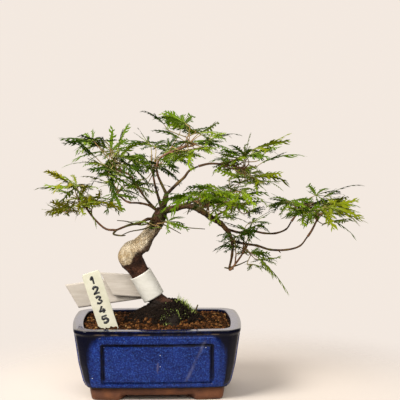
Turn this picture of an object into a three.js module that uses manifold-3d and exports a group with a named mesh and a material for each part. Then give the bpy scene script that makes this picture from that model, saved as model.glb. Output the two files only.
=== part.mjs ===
// A small laceleaf maple trained as a tree in a glazed rectangular pot, in millimetres, +Z up.
//
// The pot stands on four corner feet. The trunk leans, bends back on itself and forks, its boughs carry masses
// of foliage, and each mass is a stem whose twigs end in leaves with long, drooping lobes. A paper strip is
// wrapped round the trunk and a plain label stands in the soil. The growth rule is seeded, so it gives the same
// tree on every run. Sizes are measured from the middle of the pot's underside, and the finished plant is then
// moved so that its origin is the middle of the floor under all of it.
import * as THREE from "three";
import { mergeVertices } from "three/addons/utils/BufferGeometryUtils.js";
import Module from "manifold-3d";

const wasm = await Module();
wasm.setup();

// ---- Driving dimensions ------------------------------------------------------------------------------

const GAP = 0.3; // between pieces that touch on the real plant

const POT = {
  length: 150, // outer rim, along X
  width: 106, // outer rim, along Y
  height: 67,
  corner: 9, // how far the cut corners come in
  bow: 2.6, // how far the middle of each side stands out
  rim: 9.5, // breadth of the rim's flat top
  floor: 16, // height of the floor's upper face
  waist: 40, // height where the hollow changes slope
  waistInset: 11,
  floorInset: 18.5,
  baseTop: 12, // where the glazed wall ends and the bare base begins
  baseInset: 3.5, // step from the glazed wall in to the bare base
  footHeight: 5,
  footGapX: 70, // opening between the feet along the long sides
  footGapY: 40, // and along the short sides
  footBreadth: 13,
  footTaper: 2,
  drainRadius: 6,
  drainSpacing: 60,
};
// The wall's profile: [height, how far it stands in from the rim's edge].
const WALL = [
  [POT.baseTop, 11.5],
  [18, 8.9],
  [34, 5.3],
  [60, 1.6],
  [62.5, 0],
  [POT.height, 0],
];
const BASE_EDGE = WALL[0][1] + POT.baseInset;

// Each side has a panel: a raised frame band with a groove inside it.
const PANEL = {
  inset: 8.5, // from the end of a side's flat face to the outside of the band
  bottom: 9, // below the wall's own lower edge, which cuts it off
  top: 60,
  round: 9,
  band: 7,
  rise: 0.9,
  groove: 2.2,
  depth: 1.3,
};

const SOIL = { edge: 61, crown: 65, crownInset: 24, slopeInset: 15 };

const LABEL = {
  width: 17,
  length: 74,
  thickness: 0.8,
  foot: [-37.5, -34, 46], // middle of its lower end, in the soil
  lean: 18, // degrees from upright, towards -X
  tilt: 5, // degrees, its top going back
};

const TAG = {
  bore: 9.9, // radius of the paper ring round the trunk
  wall: 0.8,
  breadth: 25.5, // of the strip, along the trunk
  low: [-3.2, 0.5, 88.6], // the ring's axis
  high: [-15.2, 0.5, 109.6],
  tailStart: 5.2, // how far to the side of the axis the strip leaves the ring
  tails: [[66, 0.4, 3], [33, -0.4, -2]], // each end's length, place behind the ring, and turn backwards
  tailDrop: 0.15, // how much the tails fall over their length
};

// Trunk: [x, y, z, radius] from the flat cut at the soil to the fork.
const TRUNK = [
  [9, 0, SOIL.crown + GAP, 27],
  [9, 0, 72, 24.5],
  [8.5, 0, 78, 19],
  [5, 0, 83, 12],
  [-2.9, 0.5, 87.4, 8.8],
  [-9.2, 0.5, 99.1, 9],
  [-15.2, 0.5, 109.6, 9],
  [-18.6, 0.3, 114.8, 9.6],
  [-22.5, 0, 120.5, 10.8],
  [-24.8, -1, 127, 11.2],
  [-21, -1, 134, 10],
  [-13.7, 0, 139.2, 7.7],
  [-6.3, 1, 148, 6.7],
  [-0.7, 1, 156, 6.5],
  [2.5, 0, 163.5, 6.6],
  [5.5, 0, 171, 5.2],
];
const TRUNK_LEVEL = 0.55; // how far the trunk's cross sections turn back towards the level in its bends
// Surface roots lobe the flare, whose cross sections are level.
const ROOTS = { count: 5, swell: 0.22, top: 88, turn: 30, level: 2.5 };

// Boughs: their radius at the root and at the tip, and the points they run through. Each is cut clear of the
// limbs above it in this list, so its first point lies inside the limb that it springs from.
const BOUGHS = {
  right: {
    radii: [3.8, 2.7],
    route: [[5, -1, 168], [18, -3, 171.5], [29, -5, 173.5], [40, -6, 169.5], [50, -5, 162.5], [59, -4, 157],
      [67, -3, 148]],
  },
  right_drop: {
    radii: [2.3, 1.4],
    route: [[67, -3, 148], [69.8, -3, 138], [69.5, -3, 127], [67, -3, 115]],
  },
  right_upper: {
    radii: [1.7, 1],
    route: [[66, -2, 151], [78, 6, 147], [90, 12, 147.5], [101, 16, 145], [112, 19, 144.5], [122, 21, 148],
      [127, 22, 155]],
  },
  right_lower: {
    radii: [1.8, 1],
    route: [[69.5, -4, 141], [80, -10, 139], [92, -13, 137.5], [104, -15, 134], [119, -16, 134],
      [131, -16, 137.5], [138, -16, 146]],
  },
  right_inner: { radii: [1.8, 1.2], route: [[52, -4, 161.5], [56, 3, 164], [62, 9, 166]] },
  back_right: { radii: [2, 1.2], route: [[31, -4, 173], [37, 8, 174], [46, 21, 173], [55, 31, 172]] },
  leader: { radii: [3.6, 2.7], route: [[5, 0, 167], [7.5, 0, 177], [9.5, 1, 186]] },
  leader_left: { radii: [2.1, 1.2], route: [[9, 1, 184], [4.5, 6, 193], [1, 10, 201], [0, 11, 208]] },
  leader_right: {
    radii: [2.2, 1.1],
    route: [[9.5, 1, 184], [19, -3, 194], [25.5, -4, 200], [30, -5, 206], [38, -5, 210]],
  },
  upper_left: { radii: [1.9, 1.1], route: [[3, -3, 167], [-7, -6, 177], [-15, -8, 188], [-21, -9, 199]] },
  left_back: { radii: [1.9, 1.1], route: [[3, 2, 166], [-6, 9, 172], [-15, 14, 174], [-24, 18, 174]] },
  left_low: {
    radii: [2.3, 1.3],
    route: [[1, -3, 161], [-8, -9, 162], [-16, -11, 158.5], [-25, -12, 157], [-37, -13, 152.5]],
  },
  front: { radii: [2.1, 1.2], route: [[6, -2, 167], [17, -14, 173], [27, -24, 178], [33, -29, 180]] },
  back: { radii: [2.4, 1.3], route: [[5, 2, 167], [3, 14, 175], [0, 25, 184], [-2, 33, 192]] },
};

// Leaf masses: the bough whose tip carries each (or the place on the bark where its stem starts), the heart of
// its space, how far it reaches along X, Y and Z, how many leaves, how long they are, the point that its
// leading leaf reaches, and the seed of its growth.
const MASSES = {
  upper_left: { bough: "upper_left", heart: [-42, -10, 213], reach: [48, 36, 31], leaves: 9, leaf: 44,
    tip: [-89, -14, 236], seed: 722 },
  low_left: { bough: "left_low", heart: [-68, -16, 184], reach: [46, 34, 21], leaves: 6, leaf: 40,
    tip: [-111.5, -20, 192], seed: 12 },
  left_back: { bough: "left_back", heart: [-38, 26, 188], reach: [40, 34, 27], leaves: 5, leaf: 40,
    tip: [-72, 44, 196], seed: 106 },
  top: { bough: "leader_left", heart: [34, 6, 232], reach: [50, 38, 25], leaves: 9, leaf: 42,
    tip: [-23, 8, 266], seed: 313 },
  upper_right: { bough: "leader_right", heart: [80, -5, 211], reach: [48, 38, 24], leaves: 9, leaf: 44,
    tip: [137, -8, 219], seed: 314 },
  right_centre: { bough: "right_inner", heart: [73, 8, 177], reach: [46, 34, 22], leaves: 6, leaf: 40,
    tip: [108, 14, 184], seed: 727 },
  far_right_back: { bough: "right_upper", heart: [138, 26, 172], reach: [58, 40, 14], leaves: 7, leaf: 44,
    tip: [196, 26, 189], seed: 213 },
  far_right_front: { bough: "right_lower", heart: [147, -22, 168], reach: [46, 40, 15], leaves: 6, leaf: 43,
    tip: [190, -22, 160], seed: 523 },
  drooping: { bough: "right_drop", heart: [82, -8, 139], reach: [36, 28, 33], leaves: 7, leaf: 36,
    tip: [121, -14, 93], seed: 19 },
  front: { bough: "front", heart: [42, -44, 180], reach: [46, 32, 20], leaves: 6, leaf: 40,
    tip: [62, -74, 186], seed: 20 },
  fork: { trunkAt: [3, -4, 158], heart: [0, -18, 160], reach: [40, 22, 12], leaves: 3, leaf: 30,
    tip: [-36, -24, 160], seed: 413 },
  back: { bough: "back", heart: [-4, 50, 206], reach: [48, 38, 30], leaves: 8, leaf: 42,
    tip: [-20, 86, 212], seed: 22 },
  back_right: { bough: "back_right", heart: [70, 48, 180], reach: [46, 36, 24], leaves: 7, leaf: 42,
    tip: [98, 80, 178], seed: 106 },
};

// Growth: leaves are tried round each mass's stem by the golden angle, at heights that also step round, until
// the mass has as many as it should.
const GROWTH = {
  turn: 137.5, // degrees from one try to the next
  step: 0.618, // share of the height from one try to the next
  tries: 320,
  largest: 1.08, // leaf size at the first try and at the last, as shares of the mass's own
  smallest: 0.55,
  top: 0.72, // height of the highest and the lowest hub, as shares of the reach
  bottom: -0.62,
  out: 0.55, // how far out the widest hubs sit
  tilt: 0.9, // how strongly a leaf looks up or down with its hub's height
  jitter: 0.45, // radians
  spare: 1, // a leaf that lacks more of its lobes is skipped
  spacing: 8, // least distance between hubs
  twigShare: 0.55, // the twigs leave this share of the stem
};
const TWIG = {
  stem: 1.2, // radii of a mass's stem at its root and top, and of a leaf's stalk at its root and tip
  tip: 0.8,
  stalk: 0.6,
  stalkTip: 0.35,
  stemSteps: 6,
  arrival: 7, // a stalk's last run, in line with its leaf
};

// A leaf's lobes: [angle from its axis in degrees, share of its length]. A leading leaf is slimmer.
const LOBES = [[-74, 0.68], [-36, 0.9], [0, 1], [36, 0.9], [74, 0.68]];
const LEADING_LOBES = [[-36, 0.6], [0, 1], [36, 0.6]];
const LEAF = {
  half: 0.09, // a lobe's half breadth, as a share of its length
  widest: 0.42, // where it is widest
  droop: 0.28, // how far its tip hangs, as a share of its length
  thickness: 1.1, // at the hub
  hub: 2.6,
  notchSpan: 1.9, // radians between points of the hub's edge, at most
  ribMarks: [0.16, 0.3, 0.42, 0.54, 0.66, 0.78, 0.9, 1],
};

// What leaves and twigs keep from limbs, other leaves and their cell's walls, and how far past the reach they go.
const CLEAR = { limb: 1.3, twig: 1, leaf: 3.4, cell: 0.7, reach: 1.3 };

// ---- Materials ---------------------------------------------------------------------------------------

const paint = (color, roughness) => new THREE.MeshStandardMaterial({ color, roughness, metalness: 0 });
const GLAZE = 0x22337c;
const EARTH = 0x4a3020;
const BARK = 0x8a7350;
const PAPER = 0xe8e4d8;
const PLASTIC = 0xdfe3c6;
const GREEN = 0x3f6b1e;
const GOLD_GREEN = 0x8a8f22;

// ---- Small tools -------------------------------------------------------------------------------------

const RAD = Math.PI / 180;
const UP = new THREE.Vector3(0, 0, 1);
const v3 = (p) => new THREE.Vector3(p[0], p[1], p[2]);

// A repeatable stream of numbers from 0 to 1.
function seeded(seed) {
  let state = seed >>> 0;
  return () => {
    state = (state + 0x6d2b79f5) >>> 0;
    let t = state;
    t = Math.imul(t ^ (t >>> 15), t | 1);
    t ^= t + Math.imul(t ^ (t >>> 7), t | 61);
    return ((t ^ (t >>> 14)) >>> 0) / 4294967296;
  };
}

function geometryOf(vertices, faces) {
  const geometry = new THREE.BufferGeometry();
  geometry.setAttribute("position", new THREE.Float32BufferAttribute(vertices.flat(), 3));
  geometry.setIndex(faces.flat());
  return geometry;
}

function solidOf(geometry) {
  const bare = geometry.clone();
  bare.deleteAttribute("normal");
  bare.deleteAttribute("uv");
  const merged = mergeVertices(bare, 1e-4);
  const mesh = {
    numProp: 3,
    vertProperties: new Float32Array(merged.attributes.position.array),
    triVerts: new Uint32Array(merged.index.array),
  };
  return new wasm.Manifold(new wasm.Mesh(mesh));
}

function meshOf(name, solid, color, roughness) {
  const { numProp, vertProperties, triVerts, numVert } = solid.getMesh();
  const points = new Float32Array(numVert * 3);
  for (let i = 0; i < numVert; i++) {
    points.set(vertProperties.subarray(i * numProp, i * numProp + 3), i * 3);
  }
  const geometry = new THREE.BufferGeometry();
  geometry.setAttribute("position", new THREE.BufferAttribute(points, 3));
  geometry.setIndex(new THREE.BufferAttribute(triVerts, 1));
  geometry.computeVertexNormals();
  const mesh = new THREE.Mesh(geometry, paint(color, roughness));
  mesh.name = name;
  return mesh;
}

const unite = (solids) => wasm.Manifold.union(solids);

// The biggest body of a solid: what a cut left loose is dropped.
function wholeOf(solid) {
  return solid.decompose().reduce((best, body) => (body.volume() > best.volume() ? body : best));
}

// A closed solid through rings of points, each anticlockwise seen from the last ring's end.
function loft(rings) {
  const sides = rings[0].length;
  const vertices = rings.flat().map((p) => p.toArray());
  const faces = [];
  for (let ring = 0; ring + 1 < rings.length; ring++) {
    for (let i = 0; i < sides; i++) {
      const a = ring * sides + i;
      const b = ring * sides + ((i + 1) % sides);
      faces.push([a, b, b + sides], [a, b + sides, a + sides]);
    }
  }
  const last = (rings.length - 1) * sides;
  for (let i = 1; i + 1 < sides; i++) faces.push([0, i + 1, i], [last, last + i, last + i + 1]);
  return solidOf(geometryOf(vertices, faces));
}

// A ring of points round a centre, square to `ahead`.
function ringAbout(centre, ahead, reference, sides, radiusAt) {
  const across = reference.clone().cross(ahead).normalize();
  const aside = new THREE.Vector3().crossVectors(ahead, across);
  return Array.from({ length: sides }, (_, i) => {
    const angle = (2 * Math.PI * i) / sides;
    const r = radiusAt(angle);
    const out = across.clone().multiplyScalar(r * Math.cos(angle));
    return out.addScaledVector(aside, r * Math.sin(angle)).add(centre);
  });
}

const curveThrough = (points) => new THREE.CatmullRomCurve3(points, false, "catmullrom", 0.5);

// Value at share t of a list that is spread evenly over a route.
function spread(values, t) {
  const at = Math.min(Math.max(t, 0), 1) * (values.length - 1);
  const i = Math.min(Math.floor(at), values.length - 2);
  return values[i] + (values[i + 1] - values[i]) * (at - i);
}

// ---- Pot ---------------------------------------------------------------------------------------------

// The pot's plan at a height: cut corners and gently bowed sides, come in by `inset` from the rim's edge.
function planRing(inset, z) {
  const half = [POT.length / 2 - inset, POT.width / 2 - inset];
  const corner = Math.max(POT.corner - 0.4 * inset, 3);
  const steps = 3;
  const ring = [];
  for (let side = 0; side < 4; side++) {
    const run = half[side % 2] - corner;
    for (let k = 0; k <= steps; k++) {
      const share = (2 * k) / steps - 1;
      const along = run * share;
      const out = half[(side + 1) % 2] + POT.bow * (1 - share * share);
      const places = [[along, -out], [out, along], [-along, out], [-out, -along]];
      ring.push(new THREE.Vector3(places[side][0], places[side][1], z));
    }
  }
  return ring;
}

const wallShell = (grow) => loft(WALL.map(([z, inset]) => planRing(inset - grow, z)));

// How far the hollow's wall stands in from the rim's edge at a height.
function hollowInset(z) {
  const { floor, waist, height, floorInset, waistInset, rim } = POT;
  if (z < waist) return floorInset + ((waistInset - floorInset) * (z - floor)) / (waist - floor);
  return waistInset + ((rim - waistInset) * (z - waist)) / (height - waist);
}

// A rounded upright panel blank, as a prism through one side's wall, `step` in from the band's outer edge.
function panelBlank(step, run, reach, turn) {
  const half = run - PANEL.inset - step;
  const low = PANEL.bottom + step;
  const high = PANEL.top - step;
  const round = PANEL.round - 0.6 * step;
  const shape = new THREE.Shape();
  shape.absarc(half - round, high - round, round, 0, 90 * RAD, false);
  shape.absarc(-half + round, high - round, round, 90 * RAD, 180 * RAD, false);
  shape.absarc(-half + round, low + round, round, 180 * RAD, 270 * RAD, false);
  shape.absarc(half - round, low + round, round, 270 * RAD, 360 * RAD, false);
  const depth = 24;
  const prism = new THREE.ExtrudeGeometry(shape, { depth, bevelEnabled: false, curveSegments: 1 });
  prism.rotateX(90 * RAD).translate(0, 14 - reach, 0).rotateZ(turn * RAD);
  return solidOf(prism);
}

function withPanels(pot) {
  const raised = wallShell(PANEL.rise);
  const sunk = wallShell(-PANEL.depth);
  const longRun = POT.length / 2 - POT.corner;
  const shortRun = POT.width / 2 - POT.corner;
  for (let side = 0; side < 4; side++) {
    const isLong = side % 2 === 0;
    const run = isLong ? longRun : shortRun;
    const reach = isLong ? POT.width / 2 : POT.length / 2;
    const [outer, middle, inner] = [0, PANEL.band, PANEL.band + PANEL.groove].map((step) =>
      panelBlank(step, run, reach, 90 * side),
    );
    pot = pot.add(outer.subtract(middle).intersect(raised));
    pot = pot.subtract(middle.subtract(inner).subtract(sunk));
  }
  return pot;
}

function block(x, y, z) {
  return solidOf(new THREE.BoxGeometry(x, y, 2 * z)); // z is how high it stands over the floor
}

function potSolid() {
  const base = loft([
    planRing(BASE_EDGE + POT.footTaper, 0),
    planRing(BASE_EDGE, POT.footHeight),
    planRing(BASE_EDGE, POT.baseTop + 1),
  ]);
  const between = loft([
    planRing(BASE_EDGE + POT.footBreadth, -1),
    planRing(BASE_EDGE + POT.footBreadth, POT.footHeight),
  ]);
  const hollow = loft([
    planRing(hollowInset(POT.floor), POT.floor),
    planRing(hollowInset(POT.waist), POT.waist),
    planRing(hollowInset(POT.height + 1), POT.height + 1),
  ]);
  let pot = withPanels(wallShell(0)).add(base).subtract(between).subtract(hollow);
  pot = pot.subtract(block(POT.footGapX, POT.width, POT.footHeight));
  pot = pot.subtract(block(POT.length, POT.footGapY, POT.footHeight));
  for (const side of [-1, 1]) {
    const drain = new THREE.CylinderGeometry(POT.drainRadius, POT.drainRadius, 3 * POT.floor, 12);
    drain.rotateX(90 * RAD).translate((side * POT.drainSpacing) / 2, 0, POT.floor / 2);
    pot = pot.subtract(solidOf(drain));
  }
  return pot;
}

// ---- Soil, label and paper tag -----------------------------------------------------------------------

function labelSolid(grow) {
  const { width, length, thickness, foot, lean, tilt } = LABEL;
  const plate = new THREE.BoxGeometry(width + 2 * grow, thickness + 2 * grow, length + 2 * grow);
  plate.translate(0, 0, length / 2).rotateX(-tilt * RAD).rotateY(-lean * RAD).translate(...foot);
  return solidOf(plate);
}

// The soil fills the pot and rises gently to a flat top, on which the trunk's foot stands.
function soilSolid() {
  const beside = (z) => planRing(hollowInset(z) + GAP, z);
  const shoulder = planRing(SOIL.slopeInset, (SOIL.edge + 3 * SOIL.crown) / 4);
  const top = planRing(SOIL.crownInset, SOIL.crown);
  const filled = loft([beside(POT.floor + GAP), beside(POT.waist), beside(SOIL.edge), shoulder, top]);
  return filled.subtract(labelSolid(GAP));
}

// The paper strip goes once round the trunk, and its two ends run on together towards -X.
function tagSolid() {
  const low = v3(TAG.low);
  const high = v3(TAG.high);
  const axis = high.clone().sub(low).normalize();
  const middle = low.clone().lerp(high, 0.5);
  const ring = new THREE.Shape().absarc(0, 0, TAG.bore + TAG.wall, 0, 2 * Math.PI, false);
  ring.holes.push(new THREE.Path().absarc(0, 0, TAG.bore, 0, 2 * Math.PI, true));
  const tube = new THREE.ExtrudeGeometry(ring, { depth: TAG.breadth, bevelEnabled: false, curveSegments: 9 });
  const turn = new THREE.Quaternion().setFromUnitVectors(UP, axis);
  tube.translate(0, 0, -TAG.breadth / 2).applyQuaternion(turn).translate(...middle);
  const side = new THREE.Vector3(-axis.z, 0, axis.x).multiplyScalar(TAG.tailStart);
  const behind = Math.sqrt((TAG.bore + TAG.wall / 2) ** 2 - TAG.tailStart ** 2);
  const edge = axis.clone().multiplyScalar(TAG.breadth / 2);
  const tails = TAG.tails.map(([reach, back, sweep]) => {
    const start = middle.clone().add(side).add(new THREE.Vector3(0, behind + back - TAG.wall / 2, 0));
    const run = new THREE.Vector3(-reach, sweep, -TAG.tailDrop * reach);
    const corner = (share, up, deep) =>
      start.clone().addScaledVector(run, share).addScaledVector(edge, up).add(new THREE.Vector3(0, deep, 0));
    const end = (share) => [corner(share, -1, 0), corner(share, -1, TAG.wall), corner(share, 1, TAG.wall),
      corner(share, 1, 0)];
    return loft([end(1), end(0)]);
  });
  return wholeOf(unite([solidOf(tube), ...tails]));
}

// ---- Trunk and boughs --------------------------------------------------------------------------------

// A tapering limb through a route. `grow` fattens it, and carries its far end on by as much.
function limb({ route, radiusAt, sides, steps, grow = 0, swellAt = () => 1, levelAt = () => 0 }) {
  const curve = curveThrough(route.map(v3));
  const rings = [];
  for (let k = 0; k <= steps; k++) {
    const t = k / steps;
    const centre = curve.getPoint(t);
    const ahead = curve.getTangent(t).lerp(UP, levelAt(centre.z)).normalize();
    if (k === steps) centre.addScaledVector(ahead, grow);
    const radius = (angle) => radiusAt(t) * swellAt(centre.z, angle) + grow;
    rings.push(ringAbout(centre, ahead, new THREE.Vector3(0, 1, 0), sides, radius));
  }
  return loft(rings);
}

// How much a height belongs to the root flare: 1 at the soil, 0 from the flare's top up.
const flareShare = (z) => Math.min(Math.max((ROOTS.top - z) / (ROOTS.top - SOIL.crown), 0), 1);
const rootSwell = (z, angle) =>
  1 + ROOTS.swell * flareShare(z) ** 2 * Math.cos(ROOTS.count * angle + ROOTS.turn * RAD);

const trunkRadius = (t) => spread(TRUNK.map((p) => p[3]), t);
const boughRadius = ({ radii }, t) => radii[0] + (radii[1] - radii[0]) * t;

const trunkSolid = (grow) =>
  limb({
    route: TRUNK,
    radiusAt: trunkRadius,
    sides: 12,
    steps: 24,
    grow,
    swellAt: rootSwell,
    levelAt: (z) => Math.min(TRUNK_LEVEL + ROOTS.level * flareShare(z), 1),
  });
const boughSolid = (bough, grow) =>
  limb({
    route: bough.route,
    radiusAt: (t) => boughRadius(bough, t),
    sides: 5,
    steps: 2 * (bough.route.length - 1),
    grow,
  });

// Balls along every limb, as [middle, radius], for the leaves to keep off.
function limbBalls() {
  const along = (route, radiusAt, count) => {
    const curve = curveThrough(route.map(v3));
    return Array.from({ length: count + 1 }, (_, k) => [curve.getPoint(k / count), radiusAt(k / count)]);
  };
  const boughs = Object.values(BOUGHS).map((bough) =>
    along(bough.route, (t) => boughRadius(bough, t), 12 * (bough.route.length - 1)),
  );
  return [along(TRUNK, trunkRadius, 90), ...boughs].flat();
}

// ---- Foliage: where a mass may grow ------------------------------------------------------------------

const BALLS = limbBalls();

// How far a mass's ellipsoid reaches in a direction.
function reachTowards(mass, direction) {
  const [x, y, z] = mass.reach;
  return 1 / Math.hypot(direction.x / x, direction.y / y, direction.z / z);
}

// The planes that part a mass's space from the others: each as a point on it and its outward normal.
function cellOf(name) {
  const mass = MASSES[name];
  const heart = v3(mass.heart);
  const others = Object.keys(MASSES).filter((other) => other !== name);
  return others.map((other) => {
    const away = v3(MASSES[other].heart).sub(heart);
    const normal = away.clone().normalize();
    const own = reachTowards(mass, normal);
    const share = own / (own + reachTowards(MASSES[other], normal));
    return { point: heart.clone().addScaledVector(away, share), normal };
  });
}

const clearOfLimbs = (p, extra) => BALLS.every(([middle, radius]) => middle.distanceTo(p) > radius + extra);
const inCell = (cell, p) => cell.every(({ point, normal }) => p.clone().sub(point).dot(normal) < -CLEAR.cell);
function inReach(mass, p) {
  const [x, y, z] = mass.reach;
  const away = p.clone().sub(v3(mass.heart));
  return Math.hypot(away.x / x, away.y / y, away.z / z) < CLEAR.reach;
}

// ---- Foliage: leaves ---------------------------------------------------------------------------------

// A leaf's own axes at its hub: ahead, aside and up.
function leafFrame(ahead, roll) {
  const level = new THREE.Vector3().crossVectors(UP, ahead).normalize();
  const upright = new THREE.Vector3().crossVectors(ahead, level);
  const aside = level.multiplyScalar(Math.cos(roll)).addScaledVector(upright, Math.sin(roll));
  return { ahead, aside, up: new THREE.Vector3().crossVectors(ahead, aside) };
}

function heading(azimuth, pitch) {
  const level = Math.cos(pitch);
  return new THREE.Vector3(Math.cos(azimuth) * level, Math.sin(azimuth) * level, Math.sin(pitch));
}

// A point of a leaf: r out along a lobe at an angle, w to its side, h off its face. Lobes hang as they go out.
function leafPoint(leaf, angle, r, w, h, length) {
  const { ahead, aside, up } = leaf.frame;
  return leaf.hub
    .clone()
    .addScaledVector(ahead, r * Math.cos(angle) - w * Math.sin(angle))
    .addScaledVector(aside, r * Math.sin(angle) + w * Math.cos(angle))
    .addScaledVector(up, h)
    .addScaledVector(UP, -LEAF.droop * length * (r / length) ** 2);
}

// Points along a lobe's rib, past the hub.
const ribPoints = (leaf, angle, length) =>
  LEAF.ribMarks.map((share) => leafPoint(leaf, angle, share * length, 0, 0, length));

// Each lobe of a leaf is shortened until it keeps to the mass's space, off the limbs and off the leaves that
// are `taken` already, or is left out.
function fittingLobes(leaf, mass, cell, taken) {
  const fitted = leaf.plan.map(([degrees, share]) => {
    const angle = degrees * RAD;
    const sizes = [1, 0.85, 0.7].map((shrink) => leaf.length * share * shrink);
    const fits = (length) => {
      const half = LEAF.half * length;
      const rib = ribPoints(leaf, angle, length);
      const edges = [-half, half].map((w) => leafPoint(leaf, angle, LEAF.widest * length, w, 0, length));
      const near = (p) => leaf.plan === LEADING_LOBES || inReach(mass, p);
      const inSpace = (p) => inCell(cell, p) && near(p) && clearOfLimbs(p, CLEAR.limb + 0.5 * half);
      const free = (p) => taken.every((other) => other.distanceTo(p) > CLEAR.leaf);
      return [...rib, ...edges].every(inSpace) && rib.every(free);
    };
    return { angle, length: sizes.find(fits) };
  });
  return fitted.filter(({ length }) => length);
}

// The leading leaf's tip lies at the mass's own tip, past the reach, with its hub back towards the heart. It
// looks up by as much as its lobes hang.
function leadingLeaf(mass) {
  const tip = v3(mass.tip);
  const out = tip.clone().sub(v3(mass.heart)).normalize();
  const lift = LEAF.droop * out.z;
  const run = Math.sqrt(lift ** 2 + 1 - LEAF.droop ** 2) - lift;
  const hub = tip.clone().addScaledVector(out, -mass.leaf * run);
  const ahead = out.clone().multiplyScalar(run).addScaledVector(UP, LEAF.droop);
  return { hub, length: mass.leaf, frame: leafFrame(ahead, 0), plan: LEADING_LOBES };
}

// The k-th place to try for a leaf.
function leafAt(mass, k, random) {
  const level = (k * GROWTH.step) % 1;
  const jitter = () => (random() - 0.5) * 2 * GROWTH.jitter;
  const lead = Math.atan2(mass.tip[1] - mass.heart[1], mass.tip[0] - mass.heart[0]);
  const turn = lead + k * GROWTH.turn * RAD;
  const rise = GROWTH.top + (GROWTH.bottom - GROWTH.top) * level;
  const out = GROWTH.out * Math.sqrt(1 - rise * rise) * (0.4 + 0.6 * random());
  const [x, y, z] = mass.reach;
  const away = new THREE.Vector3(x * out * Math.cos(turn), y * out * Math.sin(turn), z * rise);
  const hub = v3(mass.heart).add(away);
  const pitch = Math.atan((GROWTH.tilt * z * rise) / mass.leaf) + jitter();
  const azimuth = Math.atan2(y * Math.sin(turn), x * Math.cos(turn)) + 2 * jitter();
  const frame = leafFrame(heading(azimuth, pitch), jitter());
  const size = GROWTH.largest + (GROWTH.smallest - GROWTH.largest) * (k / GROWTH.tries);
  return { hub, frame, length: mass.leaf * size, plan: LOBES };
}

// The leaves of a mass: the leading one, and then those that fit, each with the lobes that it keeps.
function leavesOf(name) {
  const mass = MASSES[name];
  const cell = cellOf(name);
  const random = seeded(mass.seed);
  const leaves = [];
  const taken = [];
  for (let k = 0; k < GROWTH.tries && leaves.length < mass.leaves; k++) {
    const leaf = k === 0 ? leadingLeaf(mass) : leafAt(mass, k, random);
    if (!inCell(cell, leaf.hub) || !clearOfLimbs(leaf.hub, 2 * CLEAR.limb)) continue;
    if (leaves.some(({ hub }) => hub.distanceTo(leaf.hub) < GROWTH.spacing)) continue;
    leaf.lobes = fittingLobes(leaf, mass, cell, taken);
    if (leaf.lobes.length < leaf.plan.length - GROWTH.spare) continue;
    leaves.push(leaf);
    taken.push(...leaf.lobes.flatMap(({ angle, length }) => ribPoints(leaf, angle, length)));
  }
  return leaves;
}

// One leaf as a closed blade: thick at the hub and along each lobe's rib, sharp at its edges and tips.
function leafSolid(leaf) {
  const vertices = [];
  const add = (...place) => vertices.push(leafPoint(leaf, ...place).toArray()) - 1;
  const top = add(0, 0, 0, LEAF.thickness / 2, 1);
  const bottom = add(0, 0, 0, -LEAF.thickness / 2, 1);
  const { lobes } = leaf;
  const faces = [];
  // Between two lobes the edge comes in to the hub, more than once across a wide gap.
  const notches = lobes.map(({ angle }, i) => {
    const gap = lobes[(i + 1) % lobes.length].angle - angle + (i + 1 < lobes.length ? 0 : 2 * Math.PI);
    const count = Math.ceil(gap / LEAF.notchSpan);
    return Array.from({ length: count }, (_, k) =>
      add(angle + (gap * (k + 0.5)) / count, LEAF.hub, 0, 0, leaf.length),
    );
  });
  lobes.forEach(({ angle, length }, i) => {
    const from = notches[(i + lobes.length - 1) % lobes.length].at(-1);
    const to = notches[i][0];
    const r = length * LEAF.widest;
    const half = length * LEAF.half;
    const right = add(angle, r, -half, 0, length);
    const left = add(angle, r, half, 0, length);
    const tip = add(angle, length, 0, 0, length);
    const rib = add(angle, r, 0, LEAF.thickness / 2, length);
    faces.push([top, from, right], [top, right, rib], [rib, right, tip]);
    faces.push([rib, tip, left], [top, rib, left], [top, left, to]);
    faces.push([bottom, right, from], [bottom, left, right], [right, left, tip], [bottom, to, left]);
    for (let k = 1; k < notches[i].length; k++) {
      faces.push([top, notches[i][k - 1], notches[i][k]], [bottom, notches[i][k], notches[i][k - 1]]);
    }
  });
  return solidOf(geometryOf(vertices, faces));
}

// ---- Foliage: twigs ----------------------------------------------------------------------------------

// A three-sided twig through a few points, from one radius to another.
function twigSolid({ points, radii }) {
  const curve = curveThrough(points);
  const steps = points.length - 1;
  const rings = points.map((point, k) => {
    const radius = radii[0] + ((radii[1] - radii[0]) * k) / steps;
    return ringAbout(point, curve.getTangent(k / steps), new THREE.Vector3(0.2, 1, 0.1), 3, () => radius);
  });
  return loft(rings);
}

// The stem of a mass: it goes on from its bough's tip, or from the bark, and turns up into the heart.
function stemOf(mass) {
  const heart = v3(mass.heart).addScaledVector(UP, -0.15 * mass.reach[2]);
  const bough = mass.bough && curveThrough(BOUGHS[mass.bough].route.map(v3));
  const start = bough ? bough.getPoint(1) : v3(mass.trunkAt);
  const ahead = bough ? bough.getTangent(1) : heart.clone().sub(start).normalize();
  start.addScaledVector(ahead, GAP);
  const span = start.distanceTo(heart);
  const first = start.clone().lerp(heart, 0.15).addScaledVector(ahead, 0.15 * span);
  const second = start.clone().lerp(heart, 0.6).addScaledVector(ahead, 0.12 * span);
  return curveThrough([start, first, second, heart]);
}

// A stalk may grow where it keeps to the mass's space and off the limbs.
function stalkFits(cell, [from, bend, hub]) {
  const curve = curveThrough([from, bend, hub]);
  return [0.25, 0.5, 0.75, 1].every((t) => {
    const p = curve.getPoint(t);
    return inCell(cell, p) && clearOfLimbs(p, CLEAR.twig);
  });
}

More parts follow.
